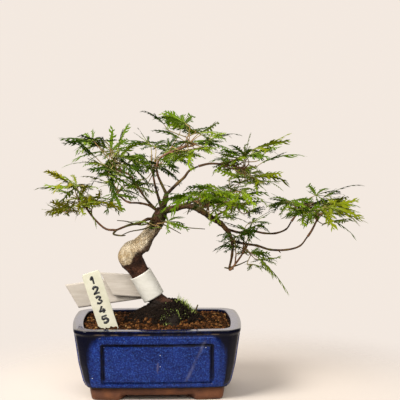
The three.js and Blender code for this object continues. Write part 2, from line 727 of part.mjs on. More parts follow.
// Two leaves share a twig, which leaves the stem part of the way up and parts into their stalks. A leaf whose
// stalk can't grow is skipped.
function grow(name) {
  const mass = MASSES[name];
  const cell = cellOf(name);
  const leaves = leavesOf(name);
  const stem = stemOf(mass);
  const twigs = [{ points: stem.getPoints(TWIG.stemSteps), radii: [TWIG.stem, TWIG.tip] }];
  const kept = [];
  for (let k = 0; k < leaves.length; k += 2) {
    const pair = leaves.slice(k, k + 2);
    const root = stem.getPoint(1 - (GROWTH.twigShare * k) / leaves.length);
    const middle = pair.reduce((sum, { hub }) => sum.add(hub), new THREE.Vector3()).divideScalar(pair.length);
    const fork = root.clone().lerp(middle, 0.45);
    twigs.push({ points: [root, fork], radii: [TWIG.tip, TWIG.stalk] });
    for (const leaf of pair) {
      const bend = leaf.hub.clone().addScaledVector(leaf.frame.ahead, -TWIG.arrival).addScaledVector(UP, -1);
      const stalk = [fork, bend, leaf.hub];
      if (!stalkFits(cell, stalk)) continue;
      twigs.push({ points: stalk, radii: [TWIG.stalk, TWIG.stalkTip] });
      kept.push(leaf);
    }
  }
  return { twigs, leaves: kept };
}

function massSolid(name) {
  const { twigs, leaves } = grow(name);
  return unite([...twigs.map(twigSolid), ...leaves.map(leafSolid)]);
}

// ---- Assembly ----------------------------------------------------------------------------------------

const plant = new THREE.Group();
plant.add(meshOf("pot", potSolid(), GLAZE, 0.2));
plant.add(meshOf("soil", soilSolid(), EARTH, 0.95));
plant.add(meshOf("plant_label", labelSolid(0), PLASTIC, 0.5));
plant.add(meshOf("paper_tag", tagSolid(), PAPER, 0.8));
plant.add(meshOf("trunk", trunkSolid(0), BARK, 0.85));

// Each bough is cut clear of the limbs before it, and each mass of all of them.
const cutClear = (solid, others) => wholeOf(others.reduce((rest, other) => rest.subtract(other), solid));
const swollen = [trunkSolid(GAP)];
for (const [name, bough] of Object.entries(BOUGHS)) {
  plant.add(meshOf(`bough_${name}`, cutClear(boughSolid(bough, 0), swollen), BARK, 0.85));
  swollen.push(boughSolid(bough, GAP));
}
for (const name of Object.keys(MASSES)) {
  const color = name === "low_left" ? GOLD_GREEN : GREEN;
  plant.add(meshOf(`foliage_${name}`, cutClear(massSolid(name), swollen), color, 0.6));
}

// The origin goes to the middle of the floor under the plant.
const middle = new THREE.Box3().setFromObject(plant).getCenter(new THREE.Vector3());
plant.position.set(-middle.x, -middle.y, 0);
export default plant;
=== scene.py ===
"""A small laceleaf maple in a cobalt glazed pot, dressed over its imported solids.

Shapes are worked out in millimetres from the middle of the pot's underside, and a mesh is then put in
the row frame, in metres. Growth follows the same seeded rule as the solids, with more leaves and finer
twigs.
"""

import math

import bpy
import numpy as np
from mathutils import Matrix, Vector


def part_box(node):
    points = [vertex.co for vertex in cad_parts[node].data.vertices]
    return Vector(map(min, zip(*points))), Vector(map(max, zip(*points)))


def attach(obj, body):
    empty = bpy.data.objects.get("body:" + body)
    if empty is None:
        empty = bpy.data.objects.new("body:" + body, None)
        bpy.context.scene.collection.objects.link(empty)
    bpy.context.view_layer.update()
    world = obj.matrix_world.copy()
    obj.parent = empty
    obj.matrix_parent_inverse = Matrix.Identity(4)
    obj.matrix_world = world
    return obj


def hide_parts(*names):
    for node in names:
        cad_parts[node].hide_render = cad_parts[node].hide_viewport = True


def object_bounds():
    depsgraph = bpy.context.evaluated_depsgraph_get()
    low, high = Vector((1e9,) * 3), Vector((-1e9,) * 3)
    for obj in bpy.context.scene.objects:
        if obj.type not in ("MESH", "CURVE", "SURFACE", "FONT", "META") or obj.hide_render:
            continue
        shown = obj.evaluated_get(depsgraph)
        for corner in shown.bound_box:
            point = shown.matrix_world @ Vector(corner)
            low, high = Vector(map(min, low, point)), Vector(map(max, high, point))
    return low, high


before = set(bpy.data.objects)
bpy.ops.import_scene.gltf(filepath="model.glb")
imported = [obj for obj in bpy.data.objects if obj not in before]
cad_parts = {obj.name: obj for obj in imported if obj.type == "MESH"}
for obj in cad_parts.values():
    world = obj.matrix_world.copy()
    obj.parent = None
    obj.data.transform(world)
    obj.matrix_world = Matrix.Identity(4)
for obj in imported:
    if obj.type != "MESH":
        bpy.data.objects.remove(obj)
CAD_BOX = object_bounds()
POT_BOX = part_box("pot")
METRE = 1000  # in millimetres
POT_PLACE = np.array([POT_BOX[0].x + POT_BOX[1].x, POT_BOX[0].y + POT_BOX[1].y, 0]) * METRE / 2
UP = np.array([0.0, 0.0, 1.0])


# ---- Small tools --------------------------------------------------------------------------------------


def unit(v):
    """Vectors made one long."""
    v = np.asarray(v, float)
    return v / np.linalg.norm(v, axis=-1, keepdims=True)


def ease(x, start, breadth):
    """0 up to `start`, 1 from `breadth` further on, and a smooth step between."""
    share = np.clip((x - start) / breadth, 0, 1)
    return share * share * (3 - 2 * share)


def bell(x, breadth):
    """1 where x is 0, falling off both ways like a bell, to 0.6 at `breadth`."""
    return np.exp(-0.5 * (x / breadth) ** 2)


def rounded_depth(x, y, radius):
    """How far a point lies inside a rectangle with rounded corners. Here x and y are how far the point
    is past the middle of the nearest corner's arc, and `radius` is that arc's."""
    return radius - np.hypot(np.maximum(x, 0), np.maximum(y, 0)) - np.minimum(np.maximum(x, y), 0)


def ripple(points, length, seed):
    """Uneven ground from -1 to 1: the mean of sine waves in random directions, about `length` long."""
    count, gain = 14, 2.2
    rng = np.random.default_rng(seed)
    waves = unit(rng.normal(size=(count, 3))) * (2 * math.pi / length) * rng.uniform(0.6, 1.7, (count, 1))
    phases = rng.uniform(0, 2 * math.pi, count)
    return np.sin(points @ waves.T + phases).mean(-1) * gain


def seeded(seed):
    """A repeatable stream of numbers from 0 to 1: a 32-bit counter, its bits mixed by two
    multiplications."""
    most = 0xFFFFFFFF
    state = seed & most

    def draw():
        nonlocal state
        state = (state + 0x6D2B79F5) & most
        t = ((state ^ (state >> 15)) * (state | 1)) & most
        t ^= (t + (((t ^ (t >> 7)) * (t | 61)) & most)) & most
        return (t ^ (t >> 14)) / (most + 1)

    return draw


class Route:
    """A smooth line through points: between two of them it is the cubic whose slope at each is half the
    step from the point before to the point after. Past the ends the first and last steps are
    mirrored."""

    def __init__(self, points):
        p = np.asarray(points, float)
        self.points = np.vstack([2 * p[0] - p[1], p, 2 * p[-1] - p[-2]])
        self.spans = len(p) - 1

    def at(self, t):
        """The places at shares t of the way, each span counting as much."""
        place = np.clip(np.asarray(t, float), 0, 1) * self.spans
        i = np.minimum(place.astype(int), self.spans - 1)
        w = (place - i)[..., None]
        before, start, end, after = (self.points[i + k] for k in range(4))
        leave, arrive = (end - before) / 2, (after - start) / 2
        bend = 3 * (end - start) - 2 * leave - arrive
        return start + leave * w + bend * w**2 + (2 * (start - end) + leave + arrive) * w**3

    def ahead(self, t):
        """The directions in which the line goes at shares t of the way."""
        t = np.asarray(t, float)
        return unit(self.at(t + 1e-4) - self.at(t - 1e-4))


def grid_faces(rows, columns):
    """Quads between the points of a grid whose last column is joined to its first."""
    row, column = np.meshgrid(np.arange(rows - 1), np.arange(columns), indexing="ij")
    here, beside = row * columns + column, row * columns + (column + 1) % columns
    return np.stack([here, beside, beside + columns, here + columns], -1).reshape(-1, 4)


def shell_faces(rows, columns, inside_out=False):
    """The faces of a closed shell of rings: quads between its rings, and one face over each end."""
    ring = np.arange(columns)
    groups = [grid_faces(rows, columns), np.vstack([ring[::-1], ring + (rows - 1) * columns])]
    return [group[:, ::-1] for group in groups] if inside_out else groups


def tube(route, radii, sides, steps, reference=(0, 1, 0), swell=None, level=None):
    """A closed limb: rings of `sides` points square to a route, whose radius is read off `radii` along
    it. `swell(centre, t, angle)` scales a ring's radius, and `level(z)` turns the rings towards the
    level."""
    t = np.linspace(0, 1, steps + 1)
    centre, ahead = route.at(t), route.ahead(t)
    if level is not None:
        share = level(centre[:, 2])[:, None]
        ahead = unit(ahead * (1 - share) + UP * share)
    across = unit(np.cross(reference, ahead))
    aside = np.cross(ahead, across)
    angle = np.linspace(0, 2 * math.pi, sides, endpoint=False)
    radius = np.interp(t, np.linspace(0, 1, len(radii)), radii)[:, None] * np.ones(sides)
    if swell is not None:
        radius = radius * swell(centre, t, angle)
    out = across[:, None] * np.cos(angle)[None, :, None] + aside[:, None] * np.sin(angle)[None, :, None]
    points = (centre[:, None] + out * radius[..., None]).reshape(-1, 3)
    return points, shell_faces(steps + 1, sides)


def gather(parts):
    """Many (points, faces) pairs as one, with each part's faces counted on from the points before it."""
    points, faces, first = [], {}, 0
    for some_points, some_faces in parts:
        for group in some_faces:
            faces.setdefault(group.shape[1], []).append(group + first)
        points.append(some_points)
        first += len(some_points)
    return np.vstack(points), [np.vstack(groups) for groups in faces.values()]


def copies(points, faces):
    """Faces of one pattern repeated for each copy, in an array of points (copies, pattern's points,
    3)."""
    count, size = points.shape[:2]
    start = np.arange(count)[:, None, None] * size
    return points.reshape(-1, 3), [(group[None] + start).reshape(-1, group.shape[1]) for group in faces]


def make_piece(name, shape, finish, stands_for=(), marks=None, smooth=True):
    """A mesh piece of the plant. Its points are in millimetres from the pot's middle. `marks` are
    numbers kept at its points for the finish to read."""
    points, faces = shape
    mesh = bpy.data.meshes.new(name)
    listed = [face for group in faces for face in group.tolist()]
    mesh.from_pydata(((points + POT_PLACE) / METRE).tolist(), [], listed)
    for mark, values in (marks or {}).items():
        kept = mesh.attributes.new(mark, "FLOAT", "POINT")
        kept.data.foreach_set("value", values.astype(np.float32).ravel())
    mesh.polygons.foreach_set("use_smooth", np.full(len(mesh.polygons), smooth))
    mesh.materials.append(finish)
    mesh.update()
    made = bpy.data.objects.new(name, mesh)
    bpy.context.scene.collection.objects.link(made)
    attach(made, "root")
    if stands_for:
        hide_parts(*stands_for)


# ---- Finishes -----------------------------------------------------------------------------------------
#
# A finish reads its piece's own coordinates, in metres, so a scale counts patches to the metre.


class Wire:
    """A socket of a finish. Arithmetic on it adds Math nodes, and `node` adds any other."""

    def __init__(self, tree, socket=None):
        self.tree = tree
        self.socket = socket

    def node(self, kind, sockets=None, output=0, **settings):
        """A new node with its settings, then its sockets' values or links. Gives one of its outputs."""
        made = self.tree.nodes.new(kind)
        for name, value in settings.items():
            setattr(made, name, value)
        for key, value in (sockets or {}).items():
            target = made.inputs[key]
            if isinstance(value, Wire):
                self.tree.links.new(value.socket, target)
            elif isinstance(value, tuple) and target.type == "RGBA" and len(value) == 3:
                target.default_value = (*value, 1)
            else:
                target.default_value = value
        return Wire(self.tree, made.outputs[output]) if made.outputs else made

    def maths(self, operation, *values):
        """A Math node on wires and numbers."""
        return self.node("ShaderNodeMath", dict(enumerate(values)), operation=operation)

    def __add__(self, other):
        return self.maths("ADD", self, other)

    def __radd__(self, other):
        return self.maths("ADD", other, self)

    def __sub__(self, other):
        return self.maths("SUBTRACT", self, other)

    def __rsub__(self, other):
        return self.maths("SUBTRACT", other, self)

    def __mul__(self, other):
        return self.maths("MULTIPLY", self, other)

    def __rmul__(self, other):
        return self.maths("MULTIPLY", other, self)

    def between(self, low, high):
        """0 where it is below `low`, 1 above `high`, eased between."""
        sockets = {"Value": self, "From Min": low, "From Max": high}
        return self.node("ShaderNodeMapRange", sockets, interpolation_type="SMOOTHSTEP")

    def blend(self, start, end):
        """The colour `start` where this is 0 and `end` where it is 1."""
        sockets = {0: self, 6: start, 7: end}
        return self.node("ShaderNodeMix", sockets, output=2, data_type="RGBA")

    def noise(self, where, scale, detail=3.0, roughness=0.55):
        """Cloudy noise, with `scale` clouds to the metre."""
        sockets = {"Vector": where, "Scale": scale, "Detail": detail, "Roughness": roughness}
        return self.node("ShaderNodeTexNoise", sockets)

    def cells(self, where, scale, feature="F1"):
        """Scattered cells, `scale` to the metre: how far a point is from its cell's middle or edge."""
        return self.node("ShaderNodeTexVoronoi", {"Vector": where, "Scale": scale}, feature=feature)

    def mark(self, name):
        """The number that a piece keeps under a name at each of its points."""
        return self.node("ShaderNodeAttribute", output=2, attribute_name=name)

    def stretched(self, where, scale):
        """Coordinates multiplied axis by axis."""
        return self.node("ShaderNodeMapping", {"Vector": where, "Scale": scale})

    def relief(self, height, strength, depth):
        """Bumps in the surface, `depth` metres deep."""
        return self.node("ShaderNodeBump", {"Height": height, "Strength": strength, "Distance": depth})


def blank_shader(owner):
    """A wire to make nodes with, in the emptied node tree of a material or a world."""
    owner.use_nodes = True
    owner.node_tree.nodes.clear()
    return Wire(owner.node_tree)


def finish(name, build, **fixed):
    """A material whose shader takes its plain numbers from `fixed` and its changing sockets from
    `build`, which is given a wire to make nodes with and the piece's own coordinates."""
    material = bpy.data.materials.new(name)
    start = blank_shader(material)
    where = start.node("ShaderNodeTexCoord", output=3)
    sockets = {key.replace("_", " "): value for key, value in fixed.items()}
    sockets.update(build(start, where))
    shader = start.node("ShaderNodeBsdfPrincipled", sockets)
    start.node("ShaderNodeOutputMaterial", {"Surface": shader})
    return material


# Colours of the glaze, the clay and the two barks.
GLAZE = {
    "deep": (0.006, 0.014, 0.1),
    "bright": (0.011, 0.028, 0.18),
    "grain": (0.03, 0.085, 0.35),
    "fleck": (0.004, 0.007, 0.035),
    "run": (0.17, 0.14, 0.17),
    # The pits' white is also a painted highlight: glints of the lamps.
    "pits_and_glints": (0.75, 0.78, 0.9),
    # Painted shade: the near black of the grooves, corners, lip and inside.
    "thick": (0.0025, 0.003, 0.011),
    # Painted highlight: a pale brown line under the lip.
    "lip_highlight": (0.22, 0.16, 0.11),
    "pale_streak": (0.19, 0.19, 0.27),
}


def glaze(w, where):
    """Cobalt glaze: cloudy and speckled with paler grains, with rare white pits that also serve as painted
    glints of the lamps, and faint rusty runs. It is near black with painted shade in the grooves, on the
    corners, under the lip and inside, brown along a painted highlight under the lip, pale along one
    slanting streak, and glossy at the `rim`."""
    # The mark of painted shade: near black in the grooves, on the corners, under the lip and inside.
    thick = w.mark("painted_shade")
    clouds = w.noise(where, 45, 3).between(0.35, 0.7)
    grain = w.noise(where, 760, 3, 0.7).between(0.46, 0.66)
    fleck = w.noise(where, 520, 2, 0.6).between(0.5, 0.62)
    body = clouds.blend(GLAZE["deep"], GLAZE["bright"])
    body = (grain * 0.75).blend(body, GLAZE["grain"])
    body = (fleck * 0.5).blend(body, GLAZE["fleck"])
    run = w.noise(w.stretched(where, (1, 1, 0.18)), 130, 2).between(0.68, 0.76)
    body = (run * 0.35).blend(body, GLAZE["run"])
    # White pits, which also serve as painted highlights, glints of the lamps.
    pits_and_glints = 1 - w.cells(where, 150).between(0.035, 0.075)
    body = (pits_and_glints * w.noise(where, 60, 1).between(0.55, 0.62)).blend(body, GLAZE["pits_and_glints"])
    # Painted shade blends the body to near black, with streaky edges.
    edge = w.noise(w.stretched(where, (1, 1, 0.16)), 300, 3) * 0.6 - 0.3 + thick
    colour = edge.between(0.08, 0.8).blend(body, GLAZE["thick"])
    # Painted highlight: a broken pale brown line under the lip.
    broken = w.mark("lip_highlight") * w.noise(where, 75, 3).between(0.44, 0.58)
    colour = (broken * 0.7).blend(colour, GLAZE["lip_highlight"])
    patchy = w.noise(w.stretched(where, (1, 1, 0.3)), 110, 3).between(0.3, 0.6)
    colour = (w.mark("pale_streak") * patchy * 0.35).blend(colour, GLAZE["pale_streak"])
    return {
        "Base Color": colour,
        "Roughness": 0.1 + 0.1 * w.noise(where, 500, 2),
        "Coat Weight": w.mark("rim") * 0.75,
        "Normal": w.relief(w.noise(where, 380, 2), 0.25, 0.0006),
    }


CLAY = {"low": (0.07, 0.02, 0.007), "high": (0.17, 0.055, 0.017), "sand": (0.28, 0.13, 0.055)}


def bare_clay(w, where):
    """Unglazed red-brown clay, sandy and darker in patches."""
    patch = w.noise(where, 70, 4).between(0.3, 0.75)
    sand = w.noise(where, 1500, 2)
    colour = patch.blend(CLAY["low"], CLAY["high"])
    colour = (sand.between(0.55, 0.75) * 0.35).blend(colour, CLAY["sand"])
    return {"Base Color": colour, "Roughness": 0.65 + 0.2 * sand, "Normal": w.relief(sand, 0.4, 0.0004)}


BARK = {
    "pale_low": (0.48, 0.36, 0.2),
    "pale_high": (0.85, 0.73, 0.54),
    "bleached": (0.9, 0.83, 0.7),
    "crack": (0.16, 0.1, 0.05),
    "streak": (0.3, 0.18, 0.07),
    "wash": (0.38, 0.24, 0.1),
    "dark_low": (0.028, 0.012, 0.007),
    "dark_high": (0.085, 0.034, 0.018),
    "dust": (0.16, 0.08, 0.045),
    "algae": (0.06, 0.072, 0.014),
    "earth": (0.01, 0.007, 0.005),
}


def bark(w, where):
    """Maple bark: pale sandy brown with fine dark cracks, streaks and a brown wash where it is marked pale,
    and dark red-brown elsewhere; the pale mark is cut back on the right side, where the dark is painted
    shade.
    Algae green it where `moss` is marked, and soil blackens it where `earth` is."""
    blotch = w.noise(where, 160, 4, 0.6)
    ragged = w.noise(w.stretched(where, (1, 1, 0.4)), 260, 4, 0.7) * 0.9 - 0.45
    # The pale bark, cut back on the right side by painted shade.
    tan = (w.mark("tan") + ragged).between(0.12, 0.88)
    fine = w.noise(w.stretched(where, (1, 1, 0.55)), 1000, 4, 0.65)
    crack = w.cells(w.stretched(where, (1, 1, 0.6)), 430, "DISTANCE_TO_EDGE").between(0.0, 0.16)
    streak = w.noise(w.stretched(where, (1, 1, 0.3)), 330, 3, 0.6).between(0.52, 0.68)
    pale = blotch.between(0.3, 0.7).blend(BARK["pale_low"], BARK["pale_high"])
    pale = (fine.between(0.5, 0.75) * 0.7).blend(pale, BARK["bleached"])
    pale = ((1 - crack) * 0.25).blend(pale, BARK["crack"])
    pale = (streak * 0.6).blend(pale, BARK["streak"])
    pale = (w.noise(where, 75, 3).between(0.5, 0.68) * 0.5).blend(pale, BARK["wash"])
    dark = blotch.between(0.35, 0.65).blend(BARK["dark_low"], BARK["dark_high"])
    dark = (fine.between(0.55, 0.72) * 0.5).blend(dark, BARK["dust"])
    algae = w.mark("moss") * w.noise(where, 240, 4).between(0.35, 0.6)
    colour = algae.blend(tan.blend(dark, pale), BARK["algae"])
    colour = w.mark("earth").blend(colour, BARK["earth"])
    relief = w.relief(fine + crack * 0.8 + blotch, 0.7, 0.0009)
    return {"Base Color": colour, "Roughness": 0.62 + 0.3 * fine, "Normal": relief}


LIMB = {
    "dark": (0.015, 0.007, 0.004),
    "brown": (0.12, 0.056, 0.021),
    "speck": (0.27, 0.19, 0.085),
    "green": (0.11, 0.115, 0.022),
}


def limb_bark(w, where):
    """Thin bark of the boughs: brown to red-brown, speckled, and greened in patches."""
    blotch = w.noise(where, 120, 4, 0.6)
    fine = w.noise(where, 900, 3, 0.6)
    colour = blotch.between(0.38, 0.62).blend(LIMB["dark"], LIMB["brown"])
    colour = (fine.between(0.5, 0.7) * 0.5).blend(colour, LIMB["speck"])
    colour = (w.noise(where, 90, 2).between(0.48, 0.62) * 0.5).blend(colour, LIMB["green"])
    return {"Base Color": colour, "Roughness": 0.5 + 0.3 * fine, "Normal": w.relief(fine, 0.6, 0.0006)}


def mottled(low, high, scale, rough=0.6, depth=0.0003, strength=0.3):
    """A finish of two close colours in patches of one size, with relief of the same size."""

    def build(w, where):
        patch = w.noise(where, scale, 3, 0.6)
        return {
            "Base Color": patch.between(0.32, 0.68).blend(low, high),
            "Roughness": rough - 0.1 + 0.2 * patch,
            "Normal": w.relief(patch, strength, depth),
        }

    return build


# Mottled finishes: two colours and the patches to the metre, and for some the roughness and the
# relief's depth in metres and strength.
MOTTLED = {
    "black earth": ((0.003, 0.002, 0.0015), (0.015, 0.009, 0.0055), 900, 0.95, 0.0005, 0.7),
    "damp soil": ((0.008, 0.004, 0.002), (0.03, 0.013, 0.006), 700, 0.95, 0.0008, 0.8),
    "dark grains": ((0.009, 0.004, 0.001), (0.034, 0.013, 0.003), 1300, 0.95, 0.0004, 0.6),
    "brown grains": ((0.04, 0.014, 0.004), (0.1, 0.036, 0.01), 1300, 0.95, 0.0004, 0.6),
    "rust grains": ((0.1, 0.04, 0.01), (0.21, 0.09, 0.028), 1300, 0.95, 0.0004, 0.6),
    "tan grains": ((0.2, 0.11, 0.03), (0.34, 0.21, 0.08), 1300, 0.95, 0.0004, 0.6),
    "moss": ((0.06, 0.085, 0.012), (0.14, 0.17, 0.03), 500),
    "bright moss": ((0.2, 0.28, 0.04), (0.42, 0.5, 0.12), 500),
    "cut wood": ((0.035, 0.012, 0.007), (0.1, 0.04, 0.022), 420),
    "green shoot": ((0.045, 0.03, 0.01), (0.13, 0.11, 0.03), 260),
    "young twig": ((0.11, 0.045, 0.018), (0.27, 0.13, 0.05), 500, 0.55),
    "leaf stalk": ((0.3, 0.15, 0.05), (0.36, 0.3, 0.09), 90, 0.5),
    "leaf rib": ((0.2, 0.27, 0.03), (0.28, 0.34, 0.05), 300, 0.6),
    "label plastic": ((0.56, 0.55, 0.42), (0.65, 0.63, 0.51), 60, 0.4, 0.0001, 0.1),
    "pen ink": ((0.012, 0.012, 0.014), (0.03, 0.03, 0.034), 400),
}


def mottled_finish(name, **fixed):
    """One of the mottled finishes as a material."""
    return finish(name, mottled(*MOTTLED[name]), **fixed)


def leaf_green(colour):
    """One plain green, with relief like a leaf's fine veins."""

    def build(w, where):
        vein = w.noise(where, 1600, 2, 0.6)
        return {"Base Color": colour, "Roughness": 0.42 + 0.2 * vein, "Normal": w.relief(vein, 0.35, 0.0003)}

    return build


def paper(base, shade):
    """Paper: a plain sheet with faint long fibres and small dents."""

    def build(w, where):
        fibre = w.noise(w.stretched(where, (0.12, 1, 1)), 420, 4, 0.6)
        return {
            "Base Color": fibre.between(0.3, 0.75).blend(shade, base),
            "Roughness": 0.6 + 0.15 * fibre,
            "Normal": w.relief(fibre, 0.25, 0.0003),
        }

    return build


# ---- Studio -------------------------------------------------------------------------------------------

# Angles in degrees, the rest in millimetres.
VIEW = {"azimuth": -2.0, "elevation": 6.4, "distance": 1200, "target": (40, 0, 178.4)}
LENS = {"lens": 117, "sensor": 36}
# Lamps: place and size in metres, power in watts, colour.
LAMPS = {
    "key": ((-0.8, -0.7, 0.95), 0.6, 26, (1.0, 0.96, 0.9)),
    "front": ((0.35, -1.2, 0.75), 0.9, 10, (1.0, 0.97, 0.93)),
}
LIT_POINT = (0, 0, 0.14)
# The room: its light comes most from behind and above, and the camera sees a plain wall instead.
ROOM = {"light": (0.95, 0.86, 0.78), "least": 0.06, "brightest": (0, 0.78, 0.62), "wall": (0.9, 0.815, 0.745)}
# The floor: the radii of its rings in metres, and where it starts to fade and is gone.
FLOOR = {"rings": (0.2, 0.5, 1.0, 2.0), "sides": 96, "fades": 0.085, "gone": 0.3}
CLOTH = (0.7, 0.635, 0.575)


def camera():
    """A long lens that looks a little down at the tree from in front."""
    azimuth, elevation = math.radians(VIEW["azimuth"]), math.radians(VIEW["elevation"])
    level = math.cos(elevation)
    back = np.array([math.sin(azimuth) * level, -math.cos(azimuth) * level, math.sin(elevation)])
    data = bpy.data.cameras.new("camera")
    data.lens, data.sensor_width = LENS["lens"], LENS["sensor"]
    data.clip_start, data.clip_end = 0.05, 60
    made = bpy.data.objects.new("camera", data)
    bpy.context.scene.collection.objects.link(made)
    made.location = Vector((np.array(VIEW["target"]) + back * VIEW["distance"] + POT_PLACE) / METRE)
    made.rotation_mode = "QUATERNION"
    made.rotation_quaternion = Vector(-back).to_track_quat("-Z", "Y")
    bpy.context.scene.camera = made


def lamp(name, place, size, power, colour):
    """A square soft light that faces the middle of the tree."""
    data = bpy.data.lights.new(name, "AREA")
    data.size, data.energy, data.color = size, power, colour
    made = bpy.data.objects.new(name, data)
    bpy.context.scene.collection.objects.link(made)
    made.location = place
    made.rotation_mode = "QUATERNION"
    made.rotation_quaternion = (Vector(LIT_POINT) - Vector(place)).to_track_quat("-Z", "Y")


def room():
    """A plain pale room whose own light is even and soft, and strongest from behind and above."""
    world = bpy.data.worlds.new("studio")
    bpy.context.scene.world = world
    w = blank_shader(world)
    seen = w.node("ShaderNodeLightPath", output=0)
    direction = w.node("ShaderNodeTexCoord", output=0)
    sockets = {0: direction, 1: ROOM["brightest"]}
    towards = w.node("ShaderNodeVectorMath", sockets, output=1, operation="DOT_PRODUCT")
    strength = ROOM["least"] + towards.between(-0.1, 0.9)
    light = w.node("ShaderNodeBackground", {"Color": ROOM["light"], "Strength": strength})
    wall = w.node("ShaderNodeBackground", {"Color": ROOM["wall"], "Strength": 1.0})
    both = w.node("ShaderNodeMixShader", {0: seen, 1: light, 2: wall})
    w.node("ShaderNodeOutputWorld", {"Surface": both})


def floor_cloth():
    """A pale cloth that turns clear as it goes away from the pot."""
    material = bpy.data.materials.new("floor")
    w = blank_shader(material)
    where = w.node("ShaderNodeTexCoord", output=3)
    away = w.node("ShaderNodeVectorMath", {0: where}, output=1, operation="LENGTH")
    cloth = w.node("ShaderNodeBsdfPrincipled", {"Base Color": CLOTH, "Roughness": 0.8})
    clear = w.node("ShaderNodeBsdfTransparent")
    sockets = {0: away.between(FLOOR["fades"], FLOOR["gone"]), 1: cloth, 2: clear}
    w.node("ShaderNodeOutputMaterial", {"Surface": w.node("ShaderNodeMixShader", sockets)})
    return material


def floor():
    """The floor under the pot: flat rings about a middle point."""
    sides = FLOOR["sides"]
    around = np.linspace(0, 2 * math.pi, sides, endpoint=False)
    circle = np.stack([np.cos(around), np.sin(around), 0 * around], -1)
    rings = np.array(FLOOR["rings"])[:, None, None] * circle
    points = np.vstack([np.zeros((1, 3)), rings.reshape(-1, 3)])
    quads = grid_faces(len(rings), sides) + 1
    corner = np.arange(sides)
    inner = np.stack([0 * corner, 1 + corner, 1 + (corner + 1) % sides], -1)
    mesh = bpy.data.meshes.new("floor")
    mesh.from_pydata(points.tolist(), [], quads.tolist() + inner.tolist())
    mesh.materials.append(floor_cloth())
    made = bpy.data.objects.new("floor", mesh)
    bpy.context.scene.collection.objects.link(made)


def studio():
    """The room, its two soft lamps at the upper left and in front, and the floor."""
    bpy.context.scene.view_settings.view_transform = "Standard"
    room()
    for name, (place, size, power, colour) in LAMPS.items():
        lamp(name, place, size, power, colour)
    floor()


# ---- Pot ----------------------------------------------------------------------------------------------

# The pot's length and width at the rim, the cut off its corners, how far a side stands out at its
# middle, its height, and the rim's breadth.
POT = {"length": 150, "width": 106, "corner": 9, "bow": 2.6, "height": 67, "rim": 9.5}
# The glazed body's section as (inset, height): under the wall, up it, over the lip and down to the soil.
UNDER = [(34, 12.2), (15, 12.05)]
WALL = [(11.5, 12), (8.9, 18), (5.3, 34), (1.6, 61.8), (0.05, 63.8), (0, POT["height"])]
INSIDE = [(POT["rim"], POT["height"]), (10.4, 56), (34, 56)]
# The step between the section's points, and how widely its corners are eased.
SECTION = {"pitch": 0.62, "blur": 0.55}
# The frame on each side: a band that stands out, round a groove, inside a rectangle with rounded corners.
PANEL = {"inset": 8.5, "bottom": 9, "top": 61.6, "round": 9, "band": 7, "groove": 2.2}
PANEL_RELIEF = {"rise": 0.9, "depth": 1.3}
# The bare base: a foot at each corner, openings between them, and the seam where the glaze begins.
BASE = {"inset": 15, "foot": 5, "gap_long": 70, "gap_short": 40, "breadth": 13, "seam": 12, "top": 12.6}
# Where the glaze is marked: the height at which a mark starts, and how much further up it is full.
# The foot, the lip and the inside set painted shade, and the rim the gloss.
MARKED = {
    "foot": (12.6, 1.6),
    "lip": (62.4, 0.7),
    "lip_paler": (65.9, 0.6),
    "rim": (66.3, 0.6),
    "inside": (66.0, 0.8),
}
# Painted shade on the corners, inside a rectangle with wide arcs. A painted highlight, a line under the
# lip, which ends before the corners. A pale streak that slants up the front.
CORNER_SHADE = {"round": 20, "starts": -9.5, "breadth": 12, "most": 0.88, "paler": (13, 8)}
LIP_HIGHLIGHT = {"height": 63.7, "breadth": 0.28, "ends": (53, 5)}
PALE_STREAK = {"x": 24, "z": 15, "lean": 0.44, "breadth": 1.0, "bottom": (16, 8), "top": (54, 6)}


def outline(inset, sizes=(165, 105, 13)):
    """The pot's plan for each inset: long and short sides that stand out as parabolas, joined by cut
    corners, with every corner eased by a running mean round the outline. `sizes` are the points along a
    long side, a short side and a cut corner. Gives points (rows, columns, 2) and, per column, which
    side it is on and how square it is to it."""
    inset = np.atleast_1d(inset)[:, None]
    half = [POT["length"] / 2 - inset, POT["width"] / 2 - inset]
    corner = np.maximum(POT["corner"] - 0.4 * inset, 3)
    laid = []
    for turn in range(4):
        share = np.linspace(-1, 1, sizes[turn % 2])
        along = (half[turn % 2] - corner) * share
        out = half[(turn + 1) % 2] + POT["bow"] * (1 - share**2) + 0 * corner
        turned = ([along, -out], [out, along], [-along, out], [-out, -along])[turn]
        laid.append(np.stack(turned, -1))
    columns, facing, square = [], [], []
    for turn in range(4):
        start, end = laid[turn][:, -1:], laid[(turn + 1) % 4][:, :1]
        share = np.linspace(0, 1, sizes[2] + 2)[1:-1, None]
        columns += [laid[turn], start + (end - start) * share]
        facing += [turn] * (sizes[turn % 2] + sizes[2])
        square += [1.0] * sizes[turn % 2] + [0.0] * sizes[2]
    ring = np.concatenate(columns, 1)
    reach = 9
    weights = bell(np.arange(-reach, reach + 1), reach / 3)
    weights /= weights.sum()
    ring = sum(weight * np.roll(ring, k - reach, axis=1) for k, weight in enumerate(weights))
    return ring, np.array(facing), np.array(square)


def eased_profile(corners, pitch, blur):
    """A polyline walked at an even pitch, with its corners eased by a running mean along it."""
    corners = np.array(corners, float)
    steps = np.linalg.norm(np.diff(corners, axis=0), axis=1)
    walked = np.concatenate([[0], np.cumsum(steps)])
    at = np.linspace(0, walked[-1], int(walked[-1] / pitch) + 1)
    line = np.stack([np.interp(at, walked, corners[:, k]) for k in range(2)], -1)
    reach = int(3 * blur / pitch) + 1
    weights = bell(np.arange(-reach, reach + 1) * pitch, blur)
    weights /= weights.sum()
    before, after = 2 * line[0] - line[reach:0:-1], 2 * line[-1] - line[-2 : -reach - 2 : -1]
    padded = np.concatenate([before, line, after])
    return np.stack([np.convolve(padded[:, k], weights, "valid") for k in range(2)], -1)


